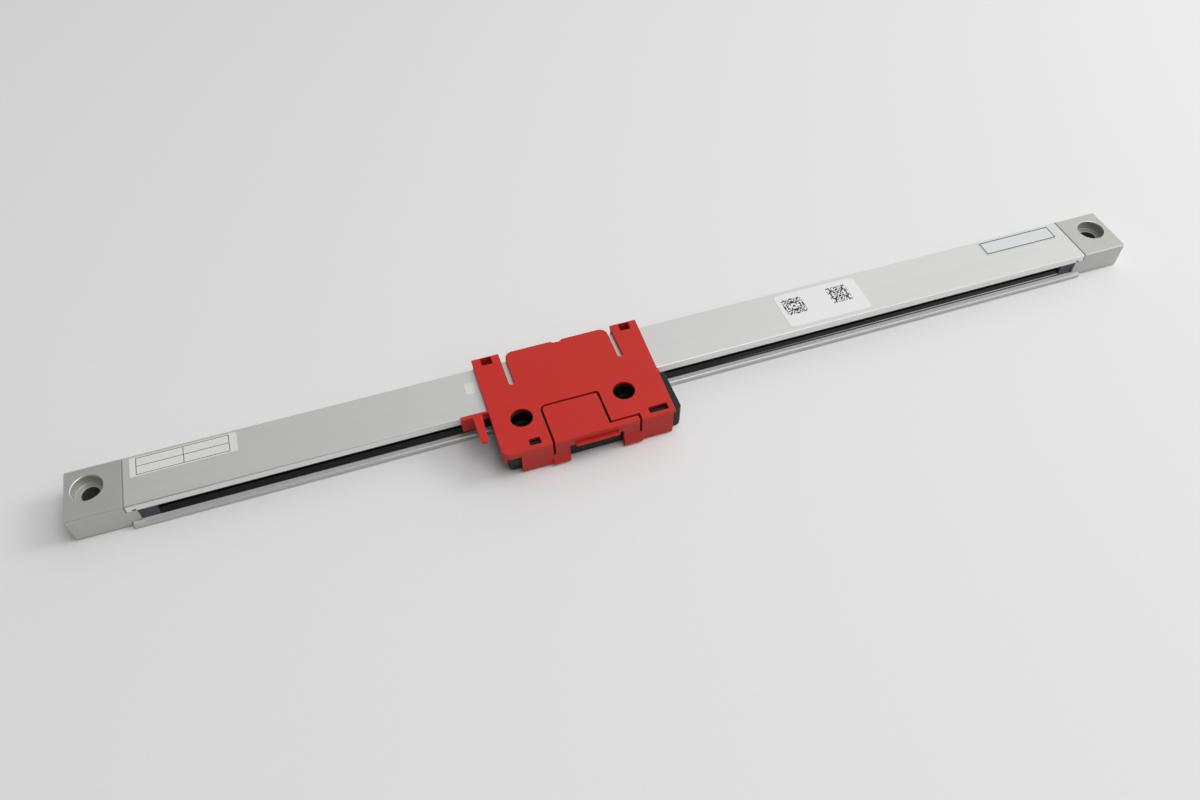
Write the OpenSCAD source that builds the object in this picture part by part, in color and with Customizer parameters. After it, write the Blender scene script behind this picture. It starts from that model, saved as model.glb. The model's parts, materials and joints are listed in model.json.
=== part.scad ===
// Sealed slimline linear glass scale with its mounting block and clip-on shipping brace.
// Frame: origin midway between the two end bolt holes in the mounting plane, +X along the scale,
// +Y towards the back, +Z up from the mounting plane. All sizes are in millimetres.

/* [Scale housing] */
// Length over both end blocks
scale_l = 598; // [500:1:900]
// Depth of the housing from its back to the face of its upper flange
housing_w = 31.2; // [30.8:0.1:34]
// Height of the housing above its mounting plane
housing_h = 15.1; // [15:0.1:17]
// Thickness of the housing walls
wall = 2.2; // [2:0.1:2.4]
// How far the lower flange reaches in front of the upper one
toe_out = 2.35; // [1.6:0.05:2.6]
// Height of the lower flange
toe_h = 2.6; // [2.4:0.1:2.9]
// Height of the slot that the blade runs in
slot_h = 8.1; // [7.8:0.1:8.3]
// Depth of the flanges that hold the sealing lips
flange_d = 3.8; // [3.4:0.1:3.9]
// Bevel along the back top edge
back_bevel = 0.4; // [0.3:0.1:0.9]

/* [End blocks] */
// Length of each end block
end_l = 27; // [24:0.5:34]
// Distance of the bolt hole from the end of the scale
bolt_inset = 10.7; // [10:0.1:12]
// Distance of the bolt hole from the back of the housing
bolt_from_back = 13.05; // [12.7:0.05:13.4]
// Diameter of the bolt hole
bolt_d = 9; // [6:0.1:9.5]
// Diameter of its counterbore
cbore_d = 15; // [12:0.1:15.4]
// Depth of its counterbore
cbore_h = 5.5; // [3:0.1:8]
// Reach of the tongue that fills the end of the slot
tongue_l = 5.2; // [3:0.1:7]
// Thickness of the gasket between the housing and each end block
gasket_t = 0.8; // [0.4:0.1:1.5]
// Diameter of the end screws
end_screw_d = 2.5; // [2:0.1:2.6]

/* [Sealing lips] */
// Height of the line where the two lips meet
seal_z = 6; // [5.8:0.1:6.3]
// Thickness of each lip
lip_t = 0.9; // [0.6:0.1:1.2]
// Width of the root of each lip in its groove
lip_root_w = 1.8; // [1.4:0.1:1.9]
// Depth of the root of each lip
lip_root_h = 1.5; // [1:0.1:1.6]
// Length of the rubber filler at each end of the lips
filler_l = 8.8; // [6:0.1:12]

/* [Glass scale] */
// Width of the glass
glass_w = 14; // [13.5:0.1:14.2]
// Thickness of the glass
glass_t = 2.2; // [2:0.1:2.4]
// Free height between the housing floor and the glass
lamp_room = 3.4; // [3.3:0.1:3.6]
// Depth of glass held between the two ribs
hold_d = 2.95; // [2:0.05:3]
// Thickness of the elastic bond under the glass
bond_t = 0.5; // [0.3:0.1:0.8]
// Width of the line graduation
track_w = 2.4; // [1.5:0.1:2.8]

/* [Scanning carriage] */
// Length of the carriage
carriage_l = 56; // [50:1:60]
// Diameter of the guide rollers
roller_d = 4.4; // [4:0.1:4.4]
// Width of the guide rollers
roller_w = 1.6; // [1.2:0.1:1.6]
// Diameter of the roller pins
pin_d = 1.2; // [1:0.1:1.5]
// Distance of the outer rollers from the ends of the carriage
roller_in = 6; // [6:0.1:7]
// Running gap around moving pieces
run_gap = 0.4; // [0.3:0.05:0.4]

/* [Blade] */
// Length of the blade along the slot
blade_l = 36; // [28:1:38]
// Thickness of the blade
blade_t = 1; // [0.8:0.1:1]

/* [Mounting block] */
// Length of the mounting block
block_l = 93.5; // [90:0.5:110]
// Depth of the mounting block
block_w = 25.6; // [25.2:0.1:30]
// Height of the mounting block
block_h = 14.7; // [14.5:0.1:15]
// Gap between the mounting block and the lower flange
block_gap = 1.2; // [0.8:0.1:1.5]
// Distance between its two mounting holes
hole_pitch = 55.5; // [54:0.1:60]
// Distance of the first hole from the left end
hole_end = 12.7; // [11:0.1:16]
// Distance of the holes from the back of the block
hole_back = 7.3; // [7:0.1:8]
// Diameter of the mounting holes
hole_d = 6.6; // [5:0.1:7]
// Diameter of the counterbore over each mounting hole
hole_cbore_d = 11; // [9:0.1:11.4]
// Diameter of the cable socket
socket_d = 9.6; // [8.6:0.1:10]

/* [Shipping brace] */
// Thickness of the brace plate
plate_t = 1.8; // [1.5:0.1:2.6]
// Thickness of the brace walls
brace_wall = 2.4; // [2:0.1:2.8]
// Span over the two arms
brace_l = 93.4; // [90:0.2:96]
// Width of each arm
arm_w = 15; // [13:0.1:16]
// Width of the slits beside the middle plate
slit_w = 2.8; // [2:0.1:3.4]
// Distance of the slits' closed ends from the front of the brace
slit_from_front = 45.6; // [45:0.1:47]
// Diameter of the two access holes over the mounting holes
access_d = 11.8; // [9:0.1:12]
// Length of the latch tab from the front of the brace
tab_l = 24.5; // [24:0.1:25]
// Length of the ledge that the thumb pulls
ledge_l = 23.5; // [20:0.5:26]
// Length of the hook's wall
hook_l = 11.1; // [9:0.1:12]
// Width of the groove around the latch tab
groove_w = 1.2; // [0.8:0.1:1.4]
// Height of the bend line of the latch tab
bend_z = 7.4; // [6.8:0.1:8]
// Fit gap between the brace and what it clips over
clip_gap = 0.3; // [0.3:0.05:0.4]

/* [Labels] */
// Length of the rating label near the left end
id_w = 52.4; // [30:0.1:60]
// Width of the rating label
id_h = 12.3; // [6:0.1:14]
// Length of the label near the right end
date_w = 48; // [30:0.1:60]
// Width of the label near the right end
date_h = 10.8; // [6:0.1:14]
// Left edge of the label with the two square patterns
code_x = 83.2; // [60:0.1:120]
// Length of the code label
code_w = 50.2; // [30:0.1:60]
// Width of the code label
code_h = 25.3; // [12:0.1:27]
// Length of the sticker that marks the reference position
sticker_l = 13.9; // [10:0.1:30]

/* [Rest position] */
// Where the mounting holes stand along the scale at rest
head_x = -47.85; // [-90:0.05:60]

/* [Hidden] */
$fn = 64;
over = 1;            // cutters run this far past the faces they open
eps = 0.05;          // clearance of small parts inside one sub-assembly

// Housing section, in Y and Z
y_back = bolt_from_back;
y_front = y_back - housing_w;
y_toe = y_front - toe_out;
y_in = y_front + flange_d;
y_wall = y_back - wall;
slot_top = toe_h + slot_h;
ceiling = housing_h - wall;
edge_bevel = 0.4;
lip_face = 0.8;                       // metal left in front of a lip root
lip_set = 0.7;                        // how far the lips stand back from the flange's face
y_root = y_front + lip_face;
port = [[y_front + 5.2, housing_h - 2.7], [y_back - 2.9, 2.9]];
port_wall = 1.7;                      // half width of the metal around a screw port
thread_d = end_screw_d - 0.4;
screw_head_d = end_screw_d + 1.5;
screw_sink = 2.8;                     // depth of the head's seat below the end face
air_y = y_front + 6.6;
air_d = 4.2;
air_plug_l = 5;

// Glass and the ribs that hold it
glass_z = wall + lamp_room;
glass_top = glass_z + glass_t;
y_rib = y_wall - hold_d - 0.4;
y_glass = y_wall - 0.4 - glass_w;
rib_t = 1.2;
cord_t = 0.9;
track_y = y_glass + 4.8;
track_t = 0.1;

// Lengths along the scale
housing_x = scale_l / 2 - end_l - gasket_t;
block_x = scale_l / 2 - end_l;
bolt_x = scale_l / 2 - bolt_inset;
tongue_x = block_x - tongue_l;
lip_x = tongue_x - filler_l;
lip_gap = blade_t / 2 + 0.3;          // half opening between the lips, which clears the blade

// Labels: left or right edge, back edge, and the width of the narrow sticker
label_t = 0.1;
label_back = y_back - 1.65;
id_x = 3.3 - housing_x;
date_x = housing_x - 6;
code_back = y_back - 2.8;
sticker_w = 7.8;
sticker_back = 4.2;

// Mounting block, with X measured from the middle of its two mounting holes
foot = 0.3;
b_x0 = -hole_pitch / 2 - hole_end;
b_x1 = b_x0 + block_l;
b_y1 = y_toe - block_gap;
b_y0 = b_y1 - block_w;
b_top = foot + block_h;
hole_y = b_y1 - hole_back;
hole_cbore_h = 6;
block_bevel = 1;
block_round = 3.6;                    // radius of the block's lower corners at its two ends
well_x = 16.5;
well_y0 = b_y0 + 4.2;
well_y1 = b_y1 - 3.6;
well_z = foot + 2.6;
board_z = b_top - 6.6;
board_t = 1.2;
cover_x = well_x + 4.8;
cover_y0 = well_y0 - 2.2;
cover_y1 = well_y1 + 1.6;
cover_t = 1.4;
seal_t = 0.4;
cover_drop = 0.2;
cover_z = b_top - cover_drop - cover_t;
cover_screw_x = (well_x + cover_x) / 2;
cover_screw_y = [cover_y0 + 3.2, cover_y1 - 3.2];
socket_z = foot + block_h / 2;
socket_y = b_y0 + 8.4;
socket_deep = 11;
socket_base = 3;
socket_wall = 0.9;
pin_ring = 2.3;                       // radius of the ring of contacts
contact_d = 0.6;
lead_d = 3;
duct_d = lead_d + 2 * eps + 0.4;
lead_x = well_x - 1.6;

// Blade, coupling and carriage
blade_y0 = well_y1 - 2.6;
blade_y1 = y_in + 1.75;
clamp_x = 9;                          // the two screws that hold the blade
clamp_y = blade_y0 + 1.3;
clamp_d = 1.2;
web_y0 = y_in + 2;
web_t = 3;
web_y1 = web_y0 + web_t;
web_top = slot_top - 0.5;
c_low = wall + run_gap;
c_low_top = glass_z - run_gap;
c_high = glass_top + run_gap;
c_top = ceiling - 0.7;
c_back = y_rib - 0.7;
c_shelf = web_y0 + 2;
c_under = track_y + 2.6;
track_gap = 0.1;                      // between the rim of a roller and the glass
top_axle_z = glass_top + track_gap + roller_d / 2;
edge_axle_y = y_glass - track_gap - roller_d / 2;
side_gap = 0.3;                       // between the flanks of a roller and its pocket
back_roller_y = c_back - 1.5 - roller_w / 2 - side_gap;
front_roller_y = y_glass + 0.9;
window_y0 = front_roller_y + roller_w / 2 + side_gap + 0.9;
window_y1 = window_y0 + 3.1;
window_x = 9;
key_h = 2.6;                          // height of the coupling pocket in the web
key_d = 2;
rod_d = 0.9;
rod_y = web_y0 + key_d / 2;
foot_x = 3;
flex_t = 0.2;
flex_w = 4;
flex_x = 6;
lens_y = (window_y0 + window_y1) / 2;
lens_d = 3;
roller_x = carriage_l / 2 - roller_in;

// Brace, with X measured from its own middle
brace_x = head_x + 4.05;
p_z0 = max(housing_h + label_t, b_top) + clip_gap;
p_z1 = p_z0 + plate_t;
wall_y1 = b_y0 - clip_gap - 0.1;
wall_y0 = wall_y1 - brace_wall;
arm_x = brace_l / 2;
back_y = y_back + 4.45;
back_wall = 2.1;
tab_back = wall_y0 + tab_l;
tab_left = -20.1;
tab_right = 9.8;
tab_end = 25.2;
tab_step = wall_y0 + 3.1;
leg_left = -12.5;
leg_right = 16.6;
sill_z = 11.4;
flex_gap = 0.15;                      // clearance at the two living hinges
corner_r = 4.5;
hook_y1 = y_front - 0.65;
hook_t = 2.4;
hook_axis = [-arm_x - 2.1, hook_y1 - 0.6];
sticker_x = brace_x - arm_x - 7.9;

// ---------------------------------------------------------------- shared shapes
module slab(x0, x1, y0, y1, z0, z1) {
  translate([x0, y0, z0]) cube([x1 - x0, y1 - y0, z1 - z0]);
}
module rect(u0, u1, v0, v1) {
  translate([u0, v0]) square([u1 - u0, v1 - v0]);
}
// a Y-Z outline run along X, an X-Z outline run along Y, and an X-Y outline run along Z
module run_x(x0, x1) {
  translate([x0, 0, 0]) rotate([90, 0, 90]) linear_extrude(x1 - x0) children();
}
module run_y(y0, y1) {
  translate([0, y1, 0]) rotate([90, 0, 0]) linear_extrude(y1 - y0) children();
}
module run_z(z0, z1) {
  translate([0, 0, z0]) linear_extrude(z1 - z0) children();
}
module rod_x(x0, x1, y, z, d) {
  translate([x0, y, z]) rotate([0, 90, 0]) cylinder(h = x1 - x0, d = d);
}
module rod_y(y0, y1, x, z, d) {
  translate([x, y0, z]) rotate([-90, 0, 0]) cylinder(h = y1 - y0, d = d);
}
module rod_z(z0, z1, x, y, d) {
  translate([x, y, z0]) cylinder(h = z1 - z0, d = d);
}
// what rounding takes off a corner at [x, y]; sx and sy point from the corner into the sheet
module corner_off(x, y, r, sx, sy) {
  difference() {
    translate([sx > 0 ? x - over : x - r, sy > 0 ? y - over : y - r]) square(r + over);
    translate([x + sx * r, y + sy * r]) circle(r);
  }
}
module at_head() { translate([head_x, 0, 0]) children(); }
module at_brace() { translate([brace_x, 0, 0]) children(); }
// an oblong sheet with round corners, as the labels are
module sheet(x0, x1, y0, y1, r) {
  run_z(housing_h, housing_h + label_t) difference() {
    rect(x0, x1, y0, y1);
    corner_off(x0, y0, r, 1, 1);
    corner_off(x1, y0, r, -1, 1);
    corner_off(x0, y1, r, 1, -1);
    corner_off(x1, y1, r, -1, -1);
  }
}

// ---------------------------------------------------------------- scale
module housing_outline() {
  polygon([[y_toe, 0], [y_back, 0], [y_back, housing_h - back_bevel],
           [y_back - back_bevel, housing_h], [y_front + edge_bevel, housing_h],
           [y_front, housing_h - edge_bevel], [y_front, toe_h],
           [y_toe + edge_bevel, toe_h], [y_toe, toe_h - edge_bevel]]);
}
module slot_outline() { rect(y_toe - over, y_in, toe_h, slot_top); }
module port_holes() {
  for (p = port) translate(p) circle(d = thread_d);
}
module housing_section() {
  difference() {
    union() {
      difference() {
        housing_outline();
        rect(y_in, y_wall, wall, ceiling);
      }
      rect(y_rib, y_wall + eps, glass_z - bond_t - rib_t, glass_z - bond_t);
      rect(y_rib, y_wall + eps, glass_top + cord_t, glass_top + cord_t + rib_t);
      rect(port[0][0] - port_wall, port[0][0] + port_wall, slot_top, housing_h - eps);
      rect(port[1][0] - port_wall, y_back - eps, eps, glass_z - bond_t);
    }
    slot_outline();
    rect(y_root, y_root + lip_root_w, toe_h - lip_root_h, toe_h + eps);
    rect(y_root, y_root + lip_root_w, slot_top - eps, slot_top + lip_root_h);
    port_holes();
  }
}
module scale_housing() {
  relief = 1.9;
  relief_d = 2.2;
  relief_h = 1.1;
  color("silver") difference() {
    run_x(-housing_x, housing_x) housing_section();
    for (s = [-1, 1]) for (z = [toe_h - relief_h, slot_top])
      slab(min(s * tongue_x, s * (tongue_x + relief)), max(s * tongue_x, s * (tongue_x + relief)),
           z == slot_top ? y_front - over : y_front, y_front + relief_d, z, z + relief_h);
  }
}
module end_screws() {
  grip = 8;                           // length of thread in the housing
  color("gray") for (m = [0, 1]) mirror([m, 0, 0]) for (p = port) difference() {
    union() {
      rod_x(block_x - grip, scale_l / 2 - screw_sink, p[0], p[1], thread_d - 2 * eps);
      rod_x(scale_l / 2 - screw_sink, scale_l / 2 - 0.6, p[0], p[1], screw_head_d);
    }
    rod_x(scale_l / 2 - 1.6, scale_l / 2, p[0], p[1], end_screw_d * 0.5, $fn = 6);
  }
}
// one end block, drawn for the right end; s = -1 mirrors it to the left
module end_block(s) {
  rim = 0.4;
  color("silver") mirror([s < 0 ? 1 : 0, 0, 0]) difference() {
    union() {
      difference() {
        run_x(block_x, scale_l / 2) polygon([
          [y_front + edge_bevel, 0], [y_back, 0], [y_back, housing_h - back_bevel],
          [y_back - back_bevel, housing_h], [y_front + edge_bevel, housing_h],
          [y_front, housing_h - edge_bevel], [y_front, edge_bevel]]);
        run_z(-over, housing_h + over) for (y = [y_front, y_back])
          corner_off(scale_l / 2, y, 0.8, -1, y == y_front ? 1 : -1);
      }
      slab(tongue_x, block_x + eps, y_front, y_front + 2.5, toe_h + eps, slot_top - eps);
    }
    rod_z(-over, housing_h + over, bolt_x, 0, bolt_d);
    rod_z(housing_h - cbore_h, housing_h + over, bolt_x, 0, cbore_d);
    translate([bolt_x, 0, housing_h - rim])
      cylinder(h = 2 * rim, d1 = cbore_d, d2 = cbore_d + 4 * rim);
    for (p = port) {
      rod_x(block_x - over, scale_l / 2 + over, p[0], p[1], end_screw_d + 2 * eps);
      rod_x(scale_l / 2 - screw_sink, scale_l / 2 + over, p[0], p[1], screw_head_d + 0.4);
    }
    rod_x(block_x - over, scale_l / 2 + over, air_y, seal_z, air_d - 1.2);
    rod_x(scale_l / 2 - air_plug_l, scale_l / 2 + over, air_y, seal_z, air_d);
  }
}
module end_block_left() { end_block(-1); }
module end_block_right() { end_block(1); }
module end_gasket(s) {
  inset = 0.2;
  color("dimgray") mirror([s < 0 ? 1 : 0, 0, 0])
    run_x(housing_x, block_x) difference() {
      polygon([[y_front + inset, inset], [y_back - inset, inset],
               [y_back - inset, housing_h - back_bevel], [y_back - back_bevel, housing_h - inset],
               [y_front + inset, housing_h - inset]]);
      rect(y_front - over, y_front + 2.5 + eps, toe_h, slot_top);
      for (p = port) translate(p) circle(d = end_screw_d + 2 * eps);
      translate([air_y, seal_z]) circle(d = air_d - 1.2);
    }
}
module end_gasket_left() { end_gasket(-1); }
module end_gasket_right() { end_gasket(1); }
module air_inlet_plugs() {
  color("gray") for (s = [0, 1]) mirror([s, 0, 0]) difference() {
    rod_x(scale_l / 2 - air_plug_l, scale_l / 2 - 0.5, air_y, seal_z, air_d - 2 * eps);
    rod_x(scale_l / 2 - 2.5, scale_l / 2, air_y, seal_z, 2.2, $fn = 6);
  }
}
// A lip section in Y and Z: a root in its groove and a curtain that slants inwards to the seal line
module lip_section(root_z, face_z, tip_z) {
  y0 = y_front + lip_set;
  lean = 2.1;
  root_y1 = y_root + lip_root_w - 0.2;
  polygon([[y_root, root_z], [y_root, face_z], [y0, face_z], [y0 + lean, tip_z],
           [y0 + lean + lip_t, tip_z], [root_y1 + 0.1, face_z], [root_y1, face_z],
           [root_y1, root_z]]);
}
module sealing_lip_upper() {
  color("#26282b") run_x(-lip_x, lip_x)
    lip_section(slot_top + lip_root_h, slot_top, seal_z + lip_gap);
}
module sealing_lip_lower() {
  color("#303236") run_x(-lip_x, lip_x)
    lip_section(toe_h - lip_root_h, toe_h, seal_z - lip_gap);
}
module lip_filler(s) {
  color("#3a3e46") mirror([s < 0 ? 1 : 0, 0, 0])
    run_x(lip_x, tongue_x) polygon([
      [y_front + lip_set, toe_h], [y_in, toe_h], [y_in, slot_top],
      [y_front + lip_set, slot_top], [y_front + lip_set + 0.6, seal_z]]);
}
module lip_filler_left() { lip_filler(-1); }
module lip_filler_right() { lip_filler(1); }
module glass_scale() {
  end_clear = 3;
  color("lightblue", 0.5) slab(-housing_x + end_clear, housing_x - end_clear,
                               y_glass, y_glass + glass_w, glass_z, glass_top);
}
module line_graduation() {
  end_clear = 6;
  color("dimgray") slab(-housing_x + end_clear, housing_x - end_clear, track_y - track_w / 2,
                        track_y + track_w / 2, glass_z - track_t, glass_z);
}
module glass_bond() {
  color("gainsboro") slab(-housing_x + 3, housing_x - 3, y_rib, y_rib + hold_d,
                          glass_z - bond_t, glass_z);
}
module glass_hold_cord() {
  color("black") slab(-housing_x + 3, housing_x - 3, y_rib + 0.3, y_rib + hold_d - 0.2,
                      glass_top, glass_top + cord_t);
}

// ---------------------------------------------------------------- labels
module id_label() {
  color("white") sheet(id_x, id_x + id_w, label_back - id_h, label_back, 0.5);
}
module date_label() {
  color("whitesmoke") sheet(date_x - date_w, date_x, label_back - date_h, label_back, 0.4);
}
module code_label() {
  color("white") sheet(code_x, code_x + code_w, code_back - code_h, code_back, 2.6);
}
module position_sticker() {
  color("white") sheet(sticker_x, sticker_x + sticker_l, sticker_back - sticker_w, sticker_back, 0.6);
}

// ---------------------------------------------------------------- mounting block
module mounting_block() {
  color("#1f2224") at_head() difference() {
    run_z(foot, b_top) difference() {
      rect(b_x0, b_x1, b_y0, b_y1);
      for (x = [b_x0, b_x1])
        translate([x, b_y0]) rotate(45) square(block_bevel * sqrt(2), center = true);
    }
    run_y(b_y0 - over, b_y1 + over) {
      corner_off(b_x0, foot, block_round, 1, 1);
      corner_off(b_x1, foot, block_round, -1, 1);
    }
    for (s = [-1, 1]) {
      rod_z(foot - over, b_top + over, s * hole_pitch / 2, hole_y, hole_d);
      rod_z(b_top - hole_cbore_h, b_top + over, s * hole_pitch / 2, hole_y, hole_cbore_d);
    }
    slab(-cover_x - eps, cover_x + eps, cover_y0 - eps, cover_y1 + eps, cover_z - seal_t,
         b_top + over);
    slab(-well_x, well_x, well_y0, well_y1, board_z, b_top);
    slab(-well_x + 2, well_x - 2, well_y0, well_y1, seal_z + blade_t / 2, b_top);
    slab(-well_x + 2, well_x - 2, well_y0, blade_y0, well_z, b_top);
    slab(-blade_l / 2 - eps, blade_l / 2 + eps, blade_y0, b_y1 + over,
         seal_z - blade_t / 2, seal_z + blade_t / 2);
    slab(flex_x - flex_w / 2 - eps, flex_x + flex_w / 2 + eps, well_y1 - eps, b_y1 + over,
         seal_z, seal_z + blade_t / 2 + flex_t);
    for (x = [-1, 1]) for (y = cover_screw_y)
      rod_z(cover_z - 4.4, cover_z, x * cover_screw_x, y, 1.7);
    for (x = [-1, 1]) rod_z(well_z + 0.4, seal_z, x * clamp_x, clamp_y, clamp_d + 2 * eps);
    rod_x(well_x - 3, b_x1 - socket_deep + eps, socket_y, socket_z, duct_d);
    rod_x(b_x1 - socket_deep, b_x1 + over, socket_y, socket_z, socket_d);
  }
}
module cover_outline(grow) {
  difference() {
    rect(-cover_x + grow, cover_x - grow, cover_y0 + grow, cover_y1 - grow);
    for (x = [-1, 1]) for (y = cover_screw_y) translate([x * cover_screw_x, y]) circle(d = 2.2);
  }
}
module block_cover() {
  color("#2a2d2f") at_head() difference() {
    run_z(cover_z, cover_z + cover_t) cover_outline(0);
    for (x = [-1, 1]) for (y = cover_screw_y)
      rod_z(cover_z + 0.6, cover_z + cover_t + over, x * cover_screw_x, y, 3.8);
  }
}
module cover_gasket() {
  color("dimgray") at_head() run_z(cover_z - seal_t, cover_z) difference() {
    cover_outline(0.2);
    rect(-well_x, well_x, well_y0, well_y1);
  }
}
module cover_screws() {
  color("silver") at_head() for (x = [-1, 1]) for (y = cover_screw_y) difference() {
    union() {
      rod_z(cover_z - 4, cover_z + 1, x * cover_screw_x, y, 1.6);
      rod_z(cover_z + 0.6, cover_z + cover_t, x * cover_screw_x, y, 3.6);
    }
    rod_z(cover_z + 0.8, cover_z + cover_t + over, x * cover_screw_x, y, 1.5, $fn = 6);
  }
}
module circuit_board() {
  color("darkgreen") at_head() difference() {
    slab(-well_x + eps, well_x - eps, well_y0 + eps, well_y1 - eps, board_z, board_z + board_t);
    slab(lead_x - eps, well_x, socket_y - duct_d / 2, socket_y + duct_d / 2, board_z - over,
         board_z + board_t + over);
  }
}
module board_chips() {
  z = board_z + board_t;
  chips = [[-9, 0, 7, 7, 1.4], [2, 2.5, 5, 4, 1.2], [2, -4, 3, 2, 0.9], [9, 3, 4, 5, 1.5],
           [-1.5, -4, 2, 1.2, 0.8], [9.5, -4, 5, 3, 2]];
  mid = (well_y0 + well_y1) / 2;
  color("#181818") at_head() for (c = chips)
    slab(c[0] - c[2] / 2, c[0] + c[2] / 2, mid + c[1] - c[3] / 2, mid + c[1] + c[3] / 2, z, z + c[4]);
}
module cable_socket() {
  x0 = b_x1 - socket_deep;
  color("#101214") at_head() difference() {
    rod_x(x0, b_x1 - 0.2, socket_y, socket_z, socket_d - 2 * eps);
    rod_x(x0 + socket_base, b_x1 + over, socket_y, socket_z, socket_d - 2 * socket_wall);
    for (a = [0:60:300])
      rod_x(x0 - over, x0 + socket_base + over, socket_y + pin_ring * cos(a),
            socket_z + pin_ring * sin(a), contact_d + 2 * eps);
  }
}
module socket_pins() {
  x0 = b_x1 - socket_deep;
  color("gold") at_head() for (a = [0:60:300])
    rod_x(x0 + 0.4, x0 + socket_base + 2.6, socket_y + pin_ring * cos(a),
          socket_z + pin_ring * sin(a), contact_d);
}
module socket_lead() {
  color("#202020") at_head()
    rod_x(lead_x, b_x1 - socket_deep, socket_y, socket_z, lead_d);
}
// A lens-shaped blade, thin at both ends, so that the lips close around it
module blade() {
  taper = 7;
  color("lightgray") at_head() difference() {
    union() {
      run_y(blade_y0, blade_y1) polygon([
        [-blade_l / 2, seal_z - 0.15], [-blade_l / 2 + taper, seal_z - blade_t / 2],
        [blade_l / 2 - taper, seal_z - blade_t / 2], [blade_l / 2, seal_z - 0.15],
        [blade_l / 2, seal_z + 0.15], [blade_l / 2 - taper, seal_z + blade_t / 2],
        [-blade_l / 2 + taper, seal_z + blade_t / 2], [-blade_l / 2, seal_z + 0.15]]);
      slab(-foot_x, foot_x, blade_y1 - eps, web_y0 + key_d - 0.2, seal_z - key_h / 2 + 0.2,
           seal_z + key_h / 2 - 0.4);
    }
    slab(flex_x - flex_w / 2 - eps, flex_x + flex_w / 2 + eps, blade_y0 - over, blade_y1 + over,
         seal_z + blade_t / 2 - flex_t, seal_z + blade_t);
    rod_x(-foot_x - over, foot_x + over, rod_y, seal_z, rod_d + eps);
    for (x = [-1, 1]) rod_z(seal_z - over, seal_z + over, x * clamp_x, clamp_y, clamp_d + 0.4);
  }
}
module blade_screws() {
  color("silver") at_head() for (x = [-1, 1]) {
    rod_z(well_z + 0.6, seal_z + blade_t / 2 + 0.1, x * clamp_x, clamp_y, clamp_d);
    rod_z(seal_z + blade_t / 2, seal_z + blade_t / 2 + 0.9, x * clamp_x, clamp_y, 2 * clamp_d);
  }
}
// The flat lead from the photocell board over the carriage, along the blade and into the block
module flex_lead() {
  h = flex_t / 2;
  z_blade = seal_z + blade_t / 2 - h;
  path = [[window_y0 + 1, photo_z + photo_t + h], [window_y0 + 1, c_top + h],
          [c_shelf - h, c_top + h], [c_shelf - h, web_top + h], [web_y0 - h, web_top + h],
          [web_y0 - h, z_blade], [blade_y0 + 0.6, z_blade]];
  color("#b5651d") at_head() for (i = [0:len(path) - 2]) {
    a = path[i];
    b = path[i + 1];
    slab(flex_x - flex_w / 2, flex_x + flex_w / 2, min(a[0], b[0]) - h, max(a[0], b[0]) + h,
         min(a[1], b[1]) - h, max(a[1], b[1]) + h);
  }
}

// ---------------------------------------------------------------- scanning carriage
photo_z = c_high + 1.6;
photo_t = 0.8;
reticle_t = 0.8;
post_x = carriage_l / 2 - 4;
module carriage_section() {
  polygon([[web_y0, c_low], [c_under, c_low], [c_under, c_low_top], [web_y1, c_low_top],
           [web_y1, c_high], [c_back, c_high], [c_back, c_top], [c_shelf, c_top],
           [c_shelf, web_top], [web_y0, web_top]]);
}
module roller_pocket(x, y) {
  slab(x - roller_d / 2 - run_gap, x + roller_d / 2 + run_gap, y - roller_w / 2 - side_gap,
       y + roller_w / 2 + side_gap, c_high - over, c_top + over);
}
module carriage_frame() {
  color("#8d9196") at_head() difference() {
    run_x(-carriage_l / 2, carriage_l / 2) carriage_section();
    for (x = [-roller_x, roller_x]) {
      roller_pocket(x, back_roller_y);
      rod_y(back_roller_y - 2.5, c_back + over, x, top_axle_z, pin_d + 2 * eps);
      rod_z(c_low + 0.8, c_high + 1.6, x, edge_axle_y, pin_d + 2 * eps);
    }
    roller_pocket(0, front_roller_y);
    rod_y(front_roller_y - 2.4, front_roller_y + 1.9, 0, top_axle_z, pin_d + 2 * eps);
    slab(-window_x, window_x, window_y0, window_y1, c_high - over, c_top + over);
    slab(-post_x, carriage_l / 2 + over, web_y0 - over, web_y0 + key_d, seal_z - key_h / 2,
         seal_z + key_h / 2);
    rod_x(-carriage_l / 2 - over, -post_x + over, rod_y, seal_z, rod_d + eps);
    rod_z(c_low - over, c_low_top + over, 0, lens_y, lens_d + eps);
  }
}
module coupling_rod() {
  color("lightgray") at_head()
    rod_x(-carriage_l / 2 + 0.4, foot_x - 0.2, rod_y, seal_z, rod_d);
}
module preload_spring() {
  t = 0.25;
  leaf_x = blade_l / 2 - 4;
  z = seal_z + key_h / 2 - 0.4;
  color("lightgray") at_head() run_y(web_y0 + 0.25, web_y0 + key_d - 0.4) union() {
    rect(0.6, leaf_x, z, z + t);
    rect(leaf_x - t, leaf_x, z, seal_z + key_h / 2);
    rect(leaf_x - t, carriage_l / 2 - 3, seal_z + key_h / 2 - t, seal_z + key_h / 2);
  }
}
module pin_y(x, y0, y1) {
  rod_y(y0, y1, x, top_axle_z, pin_d);
}
module roller_pins() {
  color("silver") at_head() {
    for (x = [-roller_x, roller_x]) {
      pin_y(x, back_roller_y - 2.4, c_back - 0.1);
      rod_z(c_low + 0.9, c_high + 1.5, x, edge_axle_y, pin_d);
    }
    pin_y(0, front_roller_y - 2.3, front_roller_y + 1.8);
  }
}
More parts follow.
